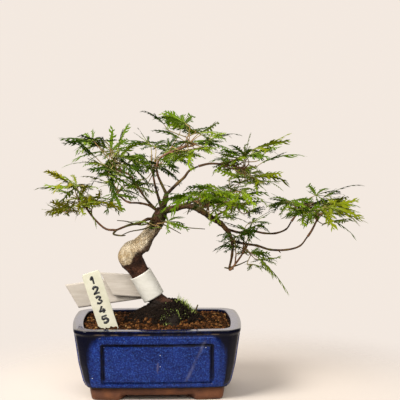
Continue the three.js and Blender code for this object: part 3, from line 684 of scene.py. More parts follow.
def glazed_body():
    """The glazed wall, its framed panels, the lip and the inside down to the soil.

    The section runs from under the wall's lower edge, up the wall, over the lip and down inside. On
    each side the surface moves out on the frame's band and in along the groove, by how far a point lies
    inside a rounded rectangle."""
    line = eased_profile(UNDER + WALL + INSIDE, **SECTION)
    hidden = line[:, 0] > 20
    keep = ~hidden | (np.arange(len(line)) % 6 == 0)
    keep[[0, -1]] = True
    inset, z = line[keep].T
    ring, side, square = outline(inset)
    rows, columns = ring.shape[:2]
    along = np.where(side % 2 == 0, np.abs(ring[..., 0]), np.abs(ring[..., 1]))
    half = np.where(side % 2 == 0, POT["length"], POT["width"]) / 2 - POT["corner"] - PANEL["inset"]
    z = z[:, None]
    middle, tall = (PANEL["top"] + PANEL["bottom"]) / 2, (PANEL["top"] - PANEL["bottom"]) / 2
    past_side = along - half + PANEL["round"]
    past_top = np.abs(z - middle) - tall + PANEL["round"]
    into = rounded_depth(past_side, past_top, PANEL["round"])
    groove = PANEL["band"] + PANEL["groove"]
    rise, depth = PANEL_RELIEF["rise"], PANEL_RELIEF["depth"]
    outwards = rise * ease(into, 0, 1.3) - (rise + depth) * ease(into, PANEL["band"] - 0.4, 0.9)
    outwards = outwards + depth * ease(into, groove - 0.4, 1.2)
    order = np.arange(rows)[:, None]
    on_wall = (order < np.argmax(z)) & (z > BASE["seam"] + 0.3)
    outwards = outwards * on_wall * (1 - ease(z, PANEL["top"], 1.0)) * square
    facing = np.array([(0, -1), (1, 0), (0, 1), (-1, 0)])[side]
    ring = ring + outwards[..., None] * facing
    points = np.concatenate([ring, np.broadcast_to(z[..., None], (rows, columns, 1))], -1).reshape(-1, 3)
    marks = glaze_marks(ring[..., 0], z, into, half - along, along, side, square, order > np.argmax(z))
    return (points, shell_faces(rows, columns)), marks


def glaze_marks(x, z, into, from_edge, along, side, square, inside):
    """Marks for the glaze. The first is painted shade, near black in the grooves, on the corners, under
    the lip, inside and along the run's lower edge. Then a painted highlight, a line under the lip; `rim`,
    the lip's flat top; and one pale streak that slants up the front."""
    band, groove = PANEL["band"], PANEL["band"] + PANEL["groove"]
    # Painted shade in the grooves, strongest in the upright ones.
    groove_shade = ease(into, band - 0.9, 0.8) * (1 - ease(into, groove, 1.0))
    upright = ease(from_edge, band - 1.2, 1.0) * (1 - ease(from_edge, groove + 0.6, 2.0))
    above = ease(z, PANEL["bottom"] + band + 1, 5)
    upright = upright * above * (1 - ease(z, PANEL["top"] - band - 1.4, 0.8))
    groove_shade = np.maximum(groove_shade * (0.25 + 0.4 * above), 0.68 * upright)
    # Painted shade on the corners, half as dark near the base.
    past_edge, past_top = CORNER_SHADE["round"] - from_edge, z - PANEL["top"] + CORNER_SHADE["round"]
    rounded = rounded_depth(past_edge, past_top, CORNER_SHADE["round"])
    corners = CORNER_SHADE["most"] * (1 - ease(rounded, CORNER_SHADE["starts"], CORNER_SHADE["breadth"]) * square)
    corners = corners * (0.5 + 0.5 * ease(z, *CORNER_SHADE["paler"]))
    # Painted shade under the lip, along the run's lower edge and, below, inside the pot.
    lip = 0.75 * ease(z, *MARKED["lip"]) * (1 - 0.6 * ease(z, *MARKED["lip_paler"]))
    foot = 1 - ease(z, *MARKED["foot"])
    painted_shade = np.maximum.reduce([groove_shade, corners, lip + 0 * into, foot + 0 * into])
    painted_shade = np.where(inside, 1 - 0.5 * ease(z, *MARKED["inside"]), painted_shade)
    # Painted highlight: a line under the lip, which ends before the corners.
    lip_highlight = bell(z - LIP_HIGHLIGHT["height"], LIP_HIGHLIGHT["breadth"]) * square * (1 - ease(along, *LIP_HIGHLIGHT["ends"])) * ~inside
    rim = ease(z, *MARKED["rim"]) + 0 * into
    streak = bell(x - PALE_STREAK["x"] - PALE_STREAK["lean"] * (z - PALE_STREAK["z"]), PALE_STREAK["breadth"]) * (side == 0)
    pale_streak = streak * ease(z, *PALE_STREAK["bottom"]) * (1 - ease(z, *PALE_STREAK["top"]))
    return {"painted_shade": painted_shade, "lip_highlight": lip_highlight, "rim": rim, "pale_streak": pale_streak}


def clay_foot():
    """The bare base under the glaze, with a foot at each corner.

    Its lower edge follows the outline and rises, by an eased step, over the opening in the middle of
    each side."""
    sizes = (96, 64, 8)
    ring, side, square = outline([BASE["inset"]], sizes)
    along = np.where(side % 2 == 0, np.abs(ring[0, :, 0]), np.abs(ring[0, :, 1]))
    gap = np.where(side % 2 == 0, BASE["gap_long"], BASE["gap_short"]) / 2
    lift = BASE["foot"] - 0.1
    lower = lift * (1 - ease(along, gap - 1.5, 3.0)) * square
    section = [
        (12, BASE["top"]),
        (1, BASE["top"]),
        (0, BASE["seam"]),
        (0, BASE["foot"] + 0.5 * lower / lift),
        (0.8, lower + 0.7),
        (2, lower),
        (BASE["breadth"] - 1, lower),
        (BASE["breadth"], BASE["foot"]),
    ]
    rings = outline([BASE["inset"] + step for step, _ in section], sizes)[0]
    heights = np.array([z + 0 * lower for _, z in section])
    points = np.concatenate([rings, heights[..., None]], -1).reshape(-1, 3)
    return points, shell_faces(len(section), len(lower), inside_out=True)


# ---- Soil and moss ------------------------------------------------------------------------------------

SOIL = {"edge": 64, "crown": 66.5, "half": (66, 45), "round": 8, "inset": 9.6, "slope": 16, "under": 57}
HEAP = {"middle": (6, 0), "half": (36, 27), "height": 10}
# The trunk's foot: its middle, and its height at each distance from there.
FOOT = {"middle": (9, 0), "away": [0, 11, 19, 24.5, 27.5, 60], "height": [84, 83.5, 78, 72, 65, 64]}
# Where grains lie: over a rectangle, clear of an ellipse about the trunk's foot.
SCATTER = {"half": (67, 45), "clear": (24, 20), "inside": 0.4}
# Of each brown, how many grains and the seed.
GRAINS = {"dark": (1500, 51), "brown": (1000, 52), "rust": (320, 53), "tan": (80, 54)}
CRUMBS = (2600, 55)
# Patches of moss: how many blades, the seed, the middle and the spread, and how tall.
MOSS = {
    "moss_dark": ("moss", [(260, 61, (27, 2), (4, 7), (1, 3)), (200, 64, (9, -22), (5, 4), (0.8, 2.2))]),
    "moss_bright": (
        "bright moss",
        [
            (110, 62, (30, 2), (3, 5), (2.5, 7)),
            (40, 67, (24, 1), (3, 4), (4, 9)),
            (70, 63, (9, -25), (2.5, 3), (1.2, 2.6)),
            (36, 66, (20, -20), (3, 3), (1.5, 3.5)),
        ],
    ),
}


def inside_pot(x, y):
    """How far a point of the soil lies in from the pot's inner edge, a rounded rectangle."""
    past_x, past_y = (np.abs(v) - half + SOIL["round"] for v, half in zip((x, y), SOIL["half"]))
    return rounded_depth(past_x, past_y, SOIL["round"])


def soil_height(x, y):
    """The soil's level: low along the edge, up to a flat crown, and up again in a heap about the
    trunk's foot."""
    crown = (SOIL["crown"] - SOIL["edge"]) * ease(inside_pot(x, y), 0, SOIL["slope"])
    away = np.hypot((x - HEAP["middle"][0]) / HEAP["half"][0], (y - HEAP["middle"][1]) / HEAP["half"][1])
    return SOIL["edge"] + crown + HEAP["height"] * (1 - ease(away, 0.45, 0.7))


def from_foot(x, y):
    """How far a point of the soil is from the middle of the trunk's foot."""
    return np.hypot(x - FOOT["middle"][0], y - FOOT["middle"][1])


def ground_height(x, y):
    """The height of the soil, or of the trunk's foot where that stands higher."""
    return np.maximum(np.interp(from_foot(x, y), FOOT["away"], FOOT["height"]), soil_height(x, y))


def soil_bed():
    """The soil's surface: rings that shrink from the pot's inner outline to a line along its middle,
    closed underneath. Two sizes of ripple make it uneven."""
    edge = outline([SOIL["inset"]], (80, 52, 8))[0][0]
    rows, count = 56, len(edge)
    spine = np.stack([np.clip(edge[:, 0], -24, 24), 0.01 * edge[:, 1]], -1)
    share = np.linspace(0, 1, rows)[:, None, None]
    flat = edge * (1 - share) + spine * share
    z = soil_height(flat[..., 0], flat[..., 1])
    points = np.concatenate([flat, z[..., None]], -1).reshape(-1, 3)
    points[:, 2] += 0.7 * ripple(points, 5, 3) + 0.4 * ripple(points, 2.2, 4) - 0.8
    skirt = np.concatenate([edge, np.full((count, 1), SOIL["under"])], -1)
    return np.vstack([skirt, points]), shell_faces(rows + 1, count)


def turns(count, rng):
    """Random rotations, as matrices made from random unit quaternions."""
    w, x, y, z = unit(rng.normal(size=(count, 4))).T
    rows = [
        [1 - 2 * (y * y + z * z), 2 * (x * y - w * z), 2 * (x * z + w * y)],
        [2 * (x * y + w * z), 1 - 2 * (x * x + z * z), 2 * (y * z - w * x)],
        [2 * (x * z - w * y), 2 * (y * z + w * x), 1 - 2 * (x * x + y * y)],
    ]
    return np.moveaxis(np.array(rows), 2, 0)


def lump():
    """A lump of twenty faces, the regular icosahedron."""
    gold = (1 + math.sqrt(5)) / 2
    corners = [(-1, gold, 0), (1, gold, 0), (-1, -gold, 0), (1, -gold, 0)]
    corners += [(0, -1, gold), (0, 1, gold), (0, -1, -gold), (0, 1, -gold)]
    corners += [(gold, 0, -1), (gold, 0, 1), (-gold, 0, -1), (-gold, 0, 1)]
    fans = [(0, 11, 5), (0, 5, 1), (0, 1, 7), (0, 7, 10), (0, 10, 11), (1, 5, 9), (5, 11, 4)]
    fans += [(11, 10, 2), (10, 7, 6), (7, 1, 8), (3, 9, 4), (3, 4, 2), (3, 2, 6), (3, 6, 8)]
    fans += [(3, 8, 9), (4, 9, 5), (2, 4, 11), (6, 2, 10), (8, 6, 7), (9, 8, 1)]
    return unit(np.array(corners, float)), np.array(fans)


def lumps_at(x, y, z, rng, smallest, largest, lift):
    """An uneven lump at each point, turned at random and lifted by a random part of the range `lift`."""
    count = len(x)
    corners, fans = lump()
    size = rng.uniform(smallest, largest, (count, 1)) * rng.uniform(0.75, 1.1, (count, 3))
    uneven = corners * rng.uniform(0.8, 1.15, (count, len(corners), 1)) * size[:, None]
    z = z + rng.uniform(*lift, count)
    points = uneven @ turns(count, rng) + np.stack([x, y, z], -1)[:, None]
    return copies(points, [fans])


def grains(count, seed):
    """Loose grains of soil scattered over the bed, up to an uneven line about the trunk's foot."""
    rng = np.random.default_rng(seed)
    x, y = rng.uniform(-1, 1, (2, count * 2)) * np.array(SCATTER["half"])[:, None]
    there = inside_pot(x, y) > SCATTER["inside"]
    long, wide = SCATTER["clear"]
    away = np.hypot((x - FOOT["middle"][0]) / long, (y - FOOT["middle"][1]) / wide)
    there &= away > 0.9 + 0.5 * rng.uniform(-1, 1, count * 2)
    x, y = x[there][:count], y[there][:count]
    return lumps_at(x, y, soil_height(x, y) - 0.7, rng, 0.9, 2.1, (-0.4, 0.9))


def mound_crumbs(count, seed):
    """Crumbs of dark earth that lie on the trunk's foot and round it."""
    rng = np.random.default_rng(seed)
    angle, away = rng.uniform(0, 2 * math.pi, count), rng.uniform(0.35, 1.02, count)
    x = HEAP["middle"][0] + HEAP["half"][0] * away * np.cos(angle)
    y = HEAP["middle"][1] + HEAP["half"][1] * away * np.sin(angle)
    return lumps_at(x, y, ground_height(x, y) - 0.2, rng, 0.7, 1.9, (-0.3, 1.0))


def blades(roots, lean, tall, wide, bend):
    """Thin upright blades: each is a strip of three steps that narrows to a point and bends over as it
    rises."""
    share = np.array([0, 0, 0.4, 0.4, 0.75, 0.75, 1.0])
    side = np.array([-1, 1, -0.85, 0.85, -0.5, 0.5, 0])
    across = unit(np.cross(lean, UP) + 1e-6)
    rise = tall[:, None] * share
    points = roots[:, None] + UP * (rise * (1 - 0.3 * bend[:, None] * share))[..., None]
    points = points + lean[:, None] * (rise * bend[:, None] * share)[..., None]
    points = points + across[:, None] * (wide[:, None] * side)[..., None]
    return copies(points, [np.array([(0, 1, 3, 2), (2, 3, 5, 4)]), np.array([(4, 5, 6)])])


def moss_patch(count, seed, middle, spread, tall):
    """Moss about the trunk's foot: short blades that lean every way, scattered about a middle. None
    grows far out or on the trunk."""
    rng = np.random.default_rng(seed)
    x = rng.normal(middle[0], spread[0], count)
    y = rng.normal(middle[1], spread[1], count)
    reach, trunk_x, trunk_radius = 30, 2, 12
    keep = (from_foot(x, y) < reach) & (np.hypot(x - trunk_x, y) > trunk_radius)
    x, y = x[keep], y[keep]
    roots = np.stack([x, y, ground_height(x, y) + 0.3], -1)
    angle = rng.uniform(0, 2 * math.pi, len(x))
    lean = np.stack([np.cos(angle), np.sin(angle), 0 * angle], -1)
    tall, wide, bend = (rng.uniform(*span, len(x)) for span in (tall, (0.2, 0.45), (0.1, 1)))
    return blades(roots, lean, tall, wide, bend)


# ---- Trunk and boughs ---------------------------------------------------------------------------------

# The trunk's route from the soil to the fork: x, y, height and radius.
TRUNK = [
    (9, 0, 65.3, 27), (9, 0, 72, 24.5), (8.5, 0, 78, 19), (5, 0, 83, 12), (-2.9, 0.5, 87.4, 8.8),
    (-9.2, 0.5, 99.1, 9), (-15.2, 0.5, 109.6, 9), (-18.6, 0.3, 114.8, 9.6), (-22.5, 0, 120.5, 10.8),
    (-24.8, -1, 127, 11.2), (-21, -1, 134, 10), (-13.7, 0, 139.2, 7.7), (-6.3, 1, 148, 6.7),
    (-0.7, 1, 156, 6.5), (2.5, 0, 163.5, 6.6), (5.5, 0, 171, 5.2),
]  # fmt: skip
# Each bough: its radii at both ends, and its route.
BOUGHS = {
    "right": ((3.8, 2.7), [(5, -1, 168), (18, -3, 171.5), (29, -5, 173.5), (40, -6, 169.5), (50, -5, 162.5),
        (59, -4, 157), (67, -3, 148)]),
    "right_drop": ((2.3, 1.4), [(67, -3, 148), (69.8, -3, 138), (69.5, -3, 127), (67, -3, 115)]),
    "right_upper": ((1.7, 1), [(66, -2, 151), (78, 6, 147), (90, 12, 147.5), (101, 16, 145), (112, 19, 144.5),
        (122, 21, 148), (127, 22, 155)]),
    "right_lower": ((1.8, 1), [(69.5, -4, 141), (80, -10, 139), (92, -13, 137.5), (104, -15, 134),
        (119, -16, 134), (131, -16, 137.5), (138, -16, 146)]),
    "right_inner": ((1.8, 1.2), [(52, -4, 161.5), (56, 3, 164), (62, 9, 166)]),
    "back_right": ((2, 1.2), [(31, -4, 173), (37, 8, 174), (46, 21, 173), (55, 31, 172)]),
    "leader": ((3.6, 2.7), [(5, 0, 167), (7.5, 0, 177), (9.5, 1, 186)]),
    "leader_left": ((2.1, 1.2), [(9, 1, 184), (4.5, 6, 193), (1, 10, 201), (0, 11, 208)]),
    "leader_right": ((2.2, 1.1), [(9.5, 1, 184), (19, -3, 194), (25.5, -4, 200), (30, -5, 206),
        (38, -5, 210)]),
    "upper_left": ((1.9, 1.1), [(3, -3, 167), (-7, -6, 177), (-15, -8, 188), (-21, -9, 199)]),
    "left_back": ((1.9, 1.1), [(3, 2, 166), (-6, 9, 172), (-15, 14, 174), (-24, 18, 174)]),
    "left_low": ((2.3, 1.3), [(1, -3, 161), (-8, -9, 162), (-16, -11, 158.5), (-25, -12, 157),
        (-37, -13, 152.5)]),
    "front": ((2.1, 1.2), [(6, -2, 167), (17, -14, 173), (27, -24, 178), (33, -29, 180)]),
    "back": ((2.4, 1.3), [(5, 2, 167), (3, 14, 175), (0, 25, 184), (-2, 33, 192)]),
}  # fmt: skip
# The root flare: the heights between which it grows, and the ridges that stand out round it.
FLARE = {"top": 88, "soil": 65, "count": 5, "swell": 0.22, "turn": 30}
# Shares of the way along the trunk, with how far each stands out as a share of its radius.
KNEE = {"at": 0.7, "breadth": 0.026, "out": 0.3}
LEAF_RINGS = [(0.655, 0.05), (0.74, 0.07), (0.8, 0.05), (0.87, 0.06)]
# Where the bark turns tan, dulls, darkens to the fork and turns mossy, and the height to which earth
# blackens it.
BARK_TURNS = {"tan": 0.52, "dull": 0.7, "dark": 0.832, "moss": 0.835, "earth": 90}


def flare(z):
    """How much a height belongs to the root flare: 1 at the soil, 0 above the flare."""
    return np.clip((FLARE["top"] - z) / (FLARE["top"] - FLARE["soil"]), 0, 1)


def trunk_shape():
    """The trunk from the soil to the fork: a limb whose foot is lobed by the surface roots, with a
    knee, old leaf rings, knobs and uneven ground in its bark."""
    route, radii = Route([p[:3] for p in TRUNK]), [p[3] for p in TRUNK]
    steps, sides, reach = 300, 96, 9

    def swell(centre, t, angle):
        share = flare(centre[:, 2])[:, None]
        lobes = 1 + FLARE["swell"] * share**2 * np.cos(FLARE["count"] * angle + math.radians(FLARE["turn"]))
        x, y = centre[:, :1] + reach * np.cos(angle), centre[:, 1:2] + reach * np.sin(angle)
        field = np.stack([x, y, centre[:, 2:] + 0 * x], -1)
        bumps = 0.035 * ripple(field, 14, 21) + 0.018 * ripple(field, 5, 22) * (1 + 2 * share)
        bumps = bumps + share * (0.05 * ripple(field, 6, 23) + 0.03 * ripple(field, 2.6, 24))
        knee = KNEE["out"] * bell(t - KNEE["at"], KNEE["breadth"])
        rings = knee[:, None] * np.maximum(np.cos(angle), 0)
        for at, out in LEAF_RINGS:
            rings = rings + out * bell(t - at, 0.008)[:, None]
        return lobes * (1 + bumps) + rings * (0.6 + 0.4 * np.cos(angle))

    def level(z):
        """Rings lie nearly level along the trunk, and quite level in the flare."""
        return np.minimum(0.55 + 2.5 * flare(z), 1)

    points, faces = tube(route, radii, sides, steps, swell=swell, level=level)
    t = np.repeat(np.linspace(0, 1, steps + 1), sides)
    return (points, faces), bark_marks(points, t, points[:, 0] - route.at(t)[:, 0])


def bark_marks(points, t, out_right):
    """Marks for the bark, all with ragged edges. The pale mark starts at the bend and ends short of the
    fork; it starts later and is fainter on the right, which is painted shade. `moss` lies below the fork,
    and `earth` at the foot."""
    uneven = 0.012 * ripple(points, 7, 25) + 0.006 * ripple(points, 2, 26)
    right = out_right / 10
    # Painted shade: the pale bark starts later on the right side.
    starts = BARK_TURNS["tan"] + 0.07 * ease(right + 9 * uneven, -0.15, 0.7)
    tan = ease(t + 2 * uneven, starts, 0.06) * (1 - 0.92 * ease(t + 3 * uneven, BARK_TURNS["dark"], 0.03))
    tan = tan * (1 - 0.2 * ease(t + 2 * uneven, BARK_TURNS["dull"], 0.06))
    # Painted shade: the pale bark fades on the right side.
    tan = tan * (1 - 0.7 * ease(right + 10 * uneven, 0.12, 0.5))
    moss = 0.85 * ease(t + 4 * uneven, BARK_TURNS["moss"], 0.04)
    earth = 0.95 * ease(BARK_TURNS["earth"] + 200 * uneven - 6 * right, points[:, 2], 4)
    return {"tan": tan, "moss": moss, "earth": earth}


# Thin green shoots and the boughs' own short tips: each a route and its radii at both ends.
SHOOTS = [
    ([(-1, -4, 160), (-14, -12, 157), (-27, -14, 160.5), (-36, -18, 162)], (0.8, 0.35)),
    ([(0, -5, 157), (-12, -10, 153), (-24, -12, 151), (-33, -14, 147.5)], (0.8, 0.35)),
    ([(-37, -13, 152.5), (-39.5, -14, 149), (-33, -14, 147.5), (-28.5, -14, 147.8)], (1.1, 0.5)),
    ([(3, -5, 160), (14, -12, 158), (26, -15, 155), (44, -16, 153.5)], (0.8, 0.35)),
    ([(3, -5, 158), (13, -13, 154), (22, -17, 149.5)], (0.7, 0.3)),
    ([(35, 2, 66), (36, 2, 74), (38, 1, 80)], (1.0, 0.6)),
    ([(62.5, -4, 115.8), (66, -3.2, 115), (71, -2, 114.2)], (0.6, 0.9)),
    ([(67, -3, 115.5), (76, -4, 118.5), (84, -6, 122.5)], (0.8, 0.4)),
    ([(111, -15, 134), (113.5, -15.5, 131)], (0.8, 0.3)),
    ([(31, -5, 173), (28, -8, 166)], (0.9, 0.4)),
    ([(45, -6, 166), (47, -8, 172), (50, -9, 176)], (0.9, 0.4)),
]
STUB = {"route": [(4, -1, 162.5), (2, -2, 166), (0.4, -2.5, 168.6)], "radii": [4.3, 4.2, 4.1, 4.2, 4.1, 3.2]}
# How slim a bough is beside its solid, for boughs thicker than a radius and for the rest.
SLIM = {"thicker_than": 3, "thick": 0.8, "thin": 0.7}


def stub_shape():
    """The stump of a cut bough at the fork: a short limb that ends in a flat face with a rounded edge."""
    return tube(Route(STUB["route"]), STUB["radii"], 24, 14)


def bough_shapes():
    """Every bough as a tapering limb with a faint knuckle at each of its route's points, slimmer than
    the solid."""

    def knuckled(centre, t, angle):
        knots = 1 + 0.16 * bell(np.sin(math.pi * t * (len(points) - 1)), 0.22)[:, None]
        return knots * (1 + 0.09 * ripple(centre, 4, 31)[:, None] + 0.03 * np.cos(2 * angle + 9 * t[:, None]))

    parts = []
    for radii, points in BOUGHS.values():
        slim = np.array(radii) * SLIM["thick" if radii[0] > SLIM["thicker_than"] else "thin"]
        parts.append(tube(Route(points), slim, 12, 10 * (len(points) - 1), swell=knuckled))
    return gather(parts)


# ---- Foliage: the growth rule --------------------------------------------------------------------------

# Each mass: the bough that carries it, or a place on the bark, its heart, its reach along each axis,
# how many leaves the solids have, how long a leaf is, where its leading tip lies, and the seed.
MASSES = {
    "upper_left": ("upper_left", (-42, -10, 213), (48, 36, 31), 9, 44, (-89, -14, 236), 722),
    "low_left": ("left_low", (-68, -16, 184), (46, 34, 21), 6, 40, (-111.5, -20, 192), 12),
    "left_back": ("left_back", (-38, 26, 188), (40, 34, 27), 5, 40, (-72, 44, 196), 106),
    "top": ("leader_left", (34, 6, 232), (50, 38, 25), 9, 42, (-23, 8, 266), 313),
    "upper_right": ("leader_right", (80, -5, 211), (48, 38, 24), 9, 44, (137, -8, 219), 314),
    "right_centre": ("right_inner", (73, 8, 177), (46, 34, 22), 6, 40, (108, 14, 184), 727),
    "far_right_back": ("right_upper", (138, 26, 172), (58, 40, 14), 7, 44, (196, 26, 189), 213),
    "far_right_front": ("right_lower", (147, -22, 168), (46, 40, 15), 6, 43, (190, -22, 160), 523),
    "drooping": ("right_drop", (82, -8, 139), (36, 28, 33), 7, 36, (121, -14, 93), 19),
    "front": ("front", (42, -44, 180), (46, 32, 20), 6, 40, (62, -74, 186), 20),
    "fork": ((3, -4, 158), (0, -18, 160), (40, 22, 12), 3, 30, (-36, -24, 160), 413),
    "back": ("back", (-4, 50, 206), (48, 38, 30), 8, 42, (-20, 86, 212), 22),
    "back_right": ("back_right", (70, 48, 180), (46, 36, 24), 7, 42, (98, 80, 178), 106),
}
# The growth rule: degrees and share of height from one leaf to the next, how many places are tried, the
# first and last leaf's size, the heights and the reach of the hubs, the leaves' tilt, jitter and
# spacing, how many lobes a leaf may lack, the stem's part that bears twigs, and how straight a stalk
# arrives.
GROWTH = {
    "turn": 137.5, "step": 0.618, "tries": 320, "largest": 1.08, "smallest": 0.55, "top": 0.72,
    "bottom": -0.62, "out": 0.55, "tilt": 0.9, "jitter": 0.45, "spare": 1, "spacing": 8,
    "twig_share": 0.55, "arrival": 7,
}  # fmt: skip
# A leaf's lobes, and a leading leaf's, as degrees and share of the leaf's length.
LOBES = [(-74, 0.68), (-36, 0.9), (0, 1), (36, 0.9), (74, 0.68)]
LEADING_LOBES = [(-36, 0.6), (0, 1), (36, 0.6)]
# Where along a rib its distance from others is measured, a lobe's half breadth and where it is widest,
# its droop, and how far leaves and twigs keep from limbs, from each other and from the bounds of their
# mass.
RIB_MARKS = np.array([0.16, 0.3, 0.42, 0.54, 0.66, 0.78, 0.9, 1])
LEAF = {"half": 0.09, "widest": 0.42, "droop": 0.28}
CLEAR = {"limb": 1.3, "twig": 1, "leaf": 3.4, "cell": 0.7, "reach": 1.3}
# A stem: its gap from the bough, how far below the heart it ends, and its two turning points.
STEM = {"clear": 0.3, "below": 0.15, "first": 0.15, "second": 0.6, "second_ahead": 0.12}
# Radii at both ends, and steps along. A twig makes for its leaves' middle, sags, and parts on the way.
TWIGS = {"stem": ((1.15, 0.75), 14), "twig": ((0.75, 0.55), 5), "stalk": ((0.5, 0.32), 7)}
FORK = {"parts": 0.45, "sag": 0.04}
# How far the scene's foliage goes past the solids': more leaves, placed closer, after more tries.
FULLER = {"leaves": 1.75, "spacing": 6, "leaf": 2.0, "tries": 900}
# Masses whose leaves are smaller than the rule makes them, by this share.
SPARSE = {"fork": 0.4, "low_left": 0.93, "far_right_front": 0.84, "far_right_back": 0.92}
# Where leaves that stand out at the edge of a mass have their tips, and those leaves' size.
SHOOT_LEAF = 0.75
SHOOT_TIPS = {
    "upper_left": [(-24, -14, 250), (-84, -14, 211), (-34, -24, 227), (-14, -16, 232), (-62, -24, 190),
        (-38, -26, 180)],
    "low_left": [(-85, -20, 203), (-54, -26, 158), (-60, -28, 197), (-100, -22, 169)],
    "upper_right": [(121, -10, 234), (86, -8, 241), (48, -10, 215)],
    "top": [(-5, 2, 242), (78, 4, 238), (70, -8, 224), (4, -10, 226), (58, -12, 228)],
    "right_centre": [(60, -8, 160), (98, -10, 179), (113, -6, 173)],
    "far_right_front": [(132, -34, 158), (180, -26, 147)],
    "far_right_back": [(193, 22, 168)],
    "drooping": [(66, -16, 158), (84, -20, 166), (100, -12, 160)],
}  # fmt: skip


def limb_balls():
    """Balls along every limb, as middles and radii, for leaves to keep off."""
    limbs = [([p[:3] for p in TRUNK], [p[3] for p in TRUNK], 90)]
    limbs += [(route, ends, 12 * (len(route) - 1)) for ends, route in BOUGHS.values()]
    middles, radii = [], []
    for points, sizes, steps in limbs:
        t = np.linspace(0, 1, steps + 1)
        middles.append(Route(points).at(t))
        radii.append(np.interp(t, np.linspace(0, 1, len(sizes)), sizes))
    return np.vstack(middles), np.concatenate(radii)


BALL_MIDDLES, BALL_RADII = limb_balls()


def clear_of_limbs(points, extra):
    """Whether each point keeps `extra` away from every limb."""
    apart = np.linalg.norm(points[:, None] - BALL_MIDDLES, axis=-1)
    return (apart > BALL_RADII + extra).all(-1)


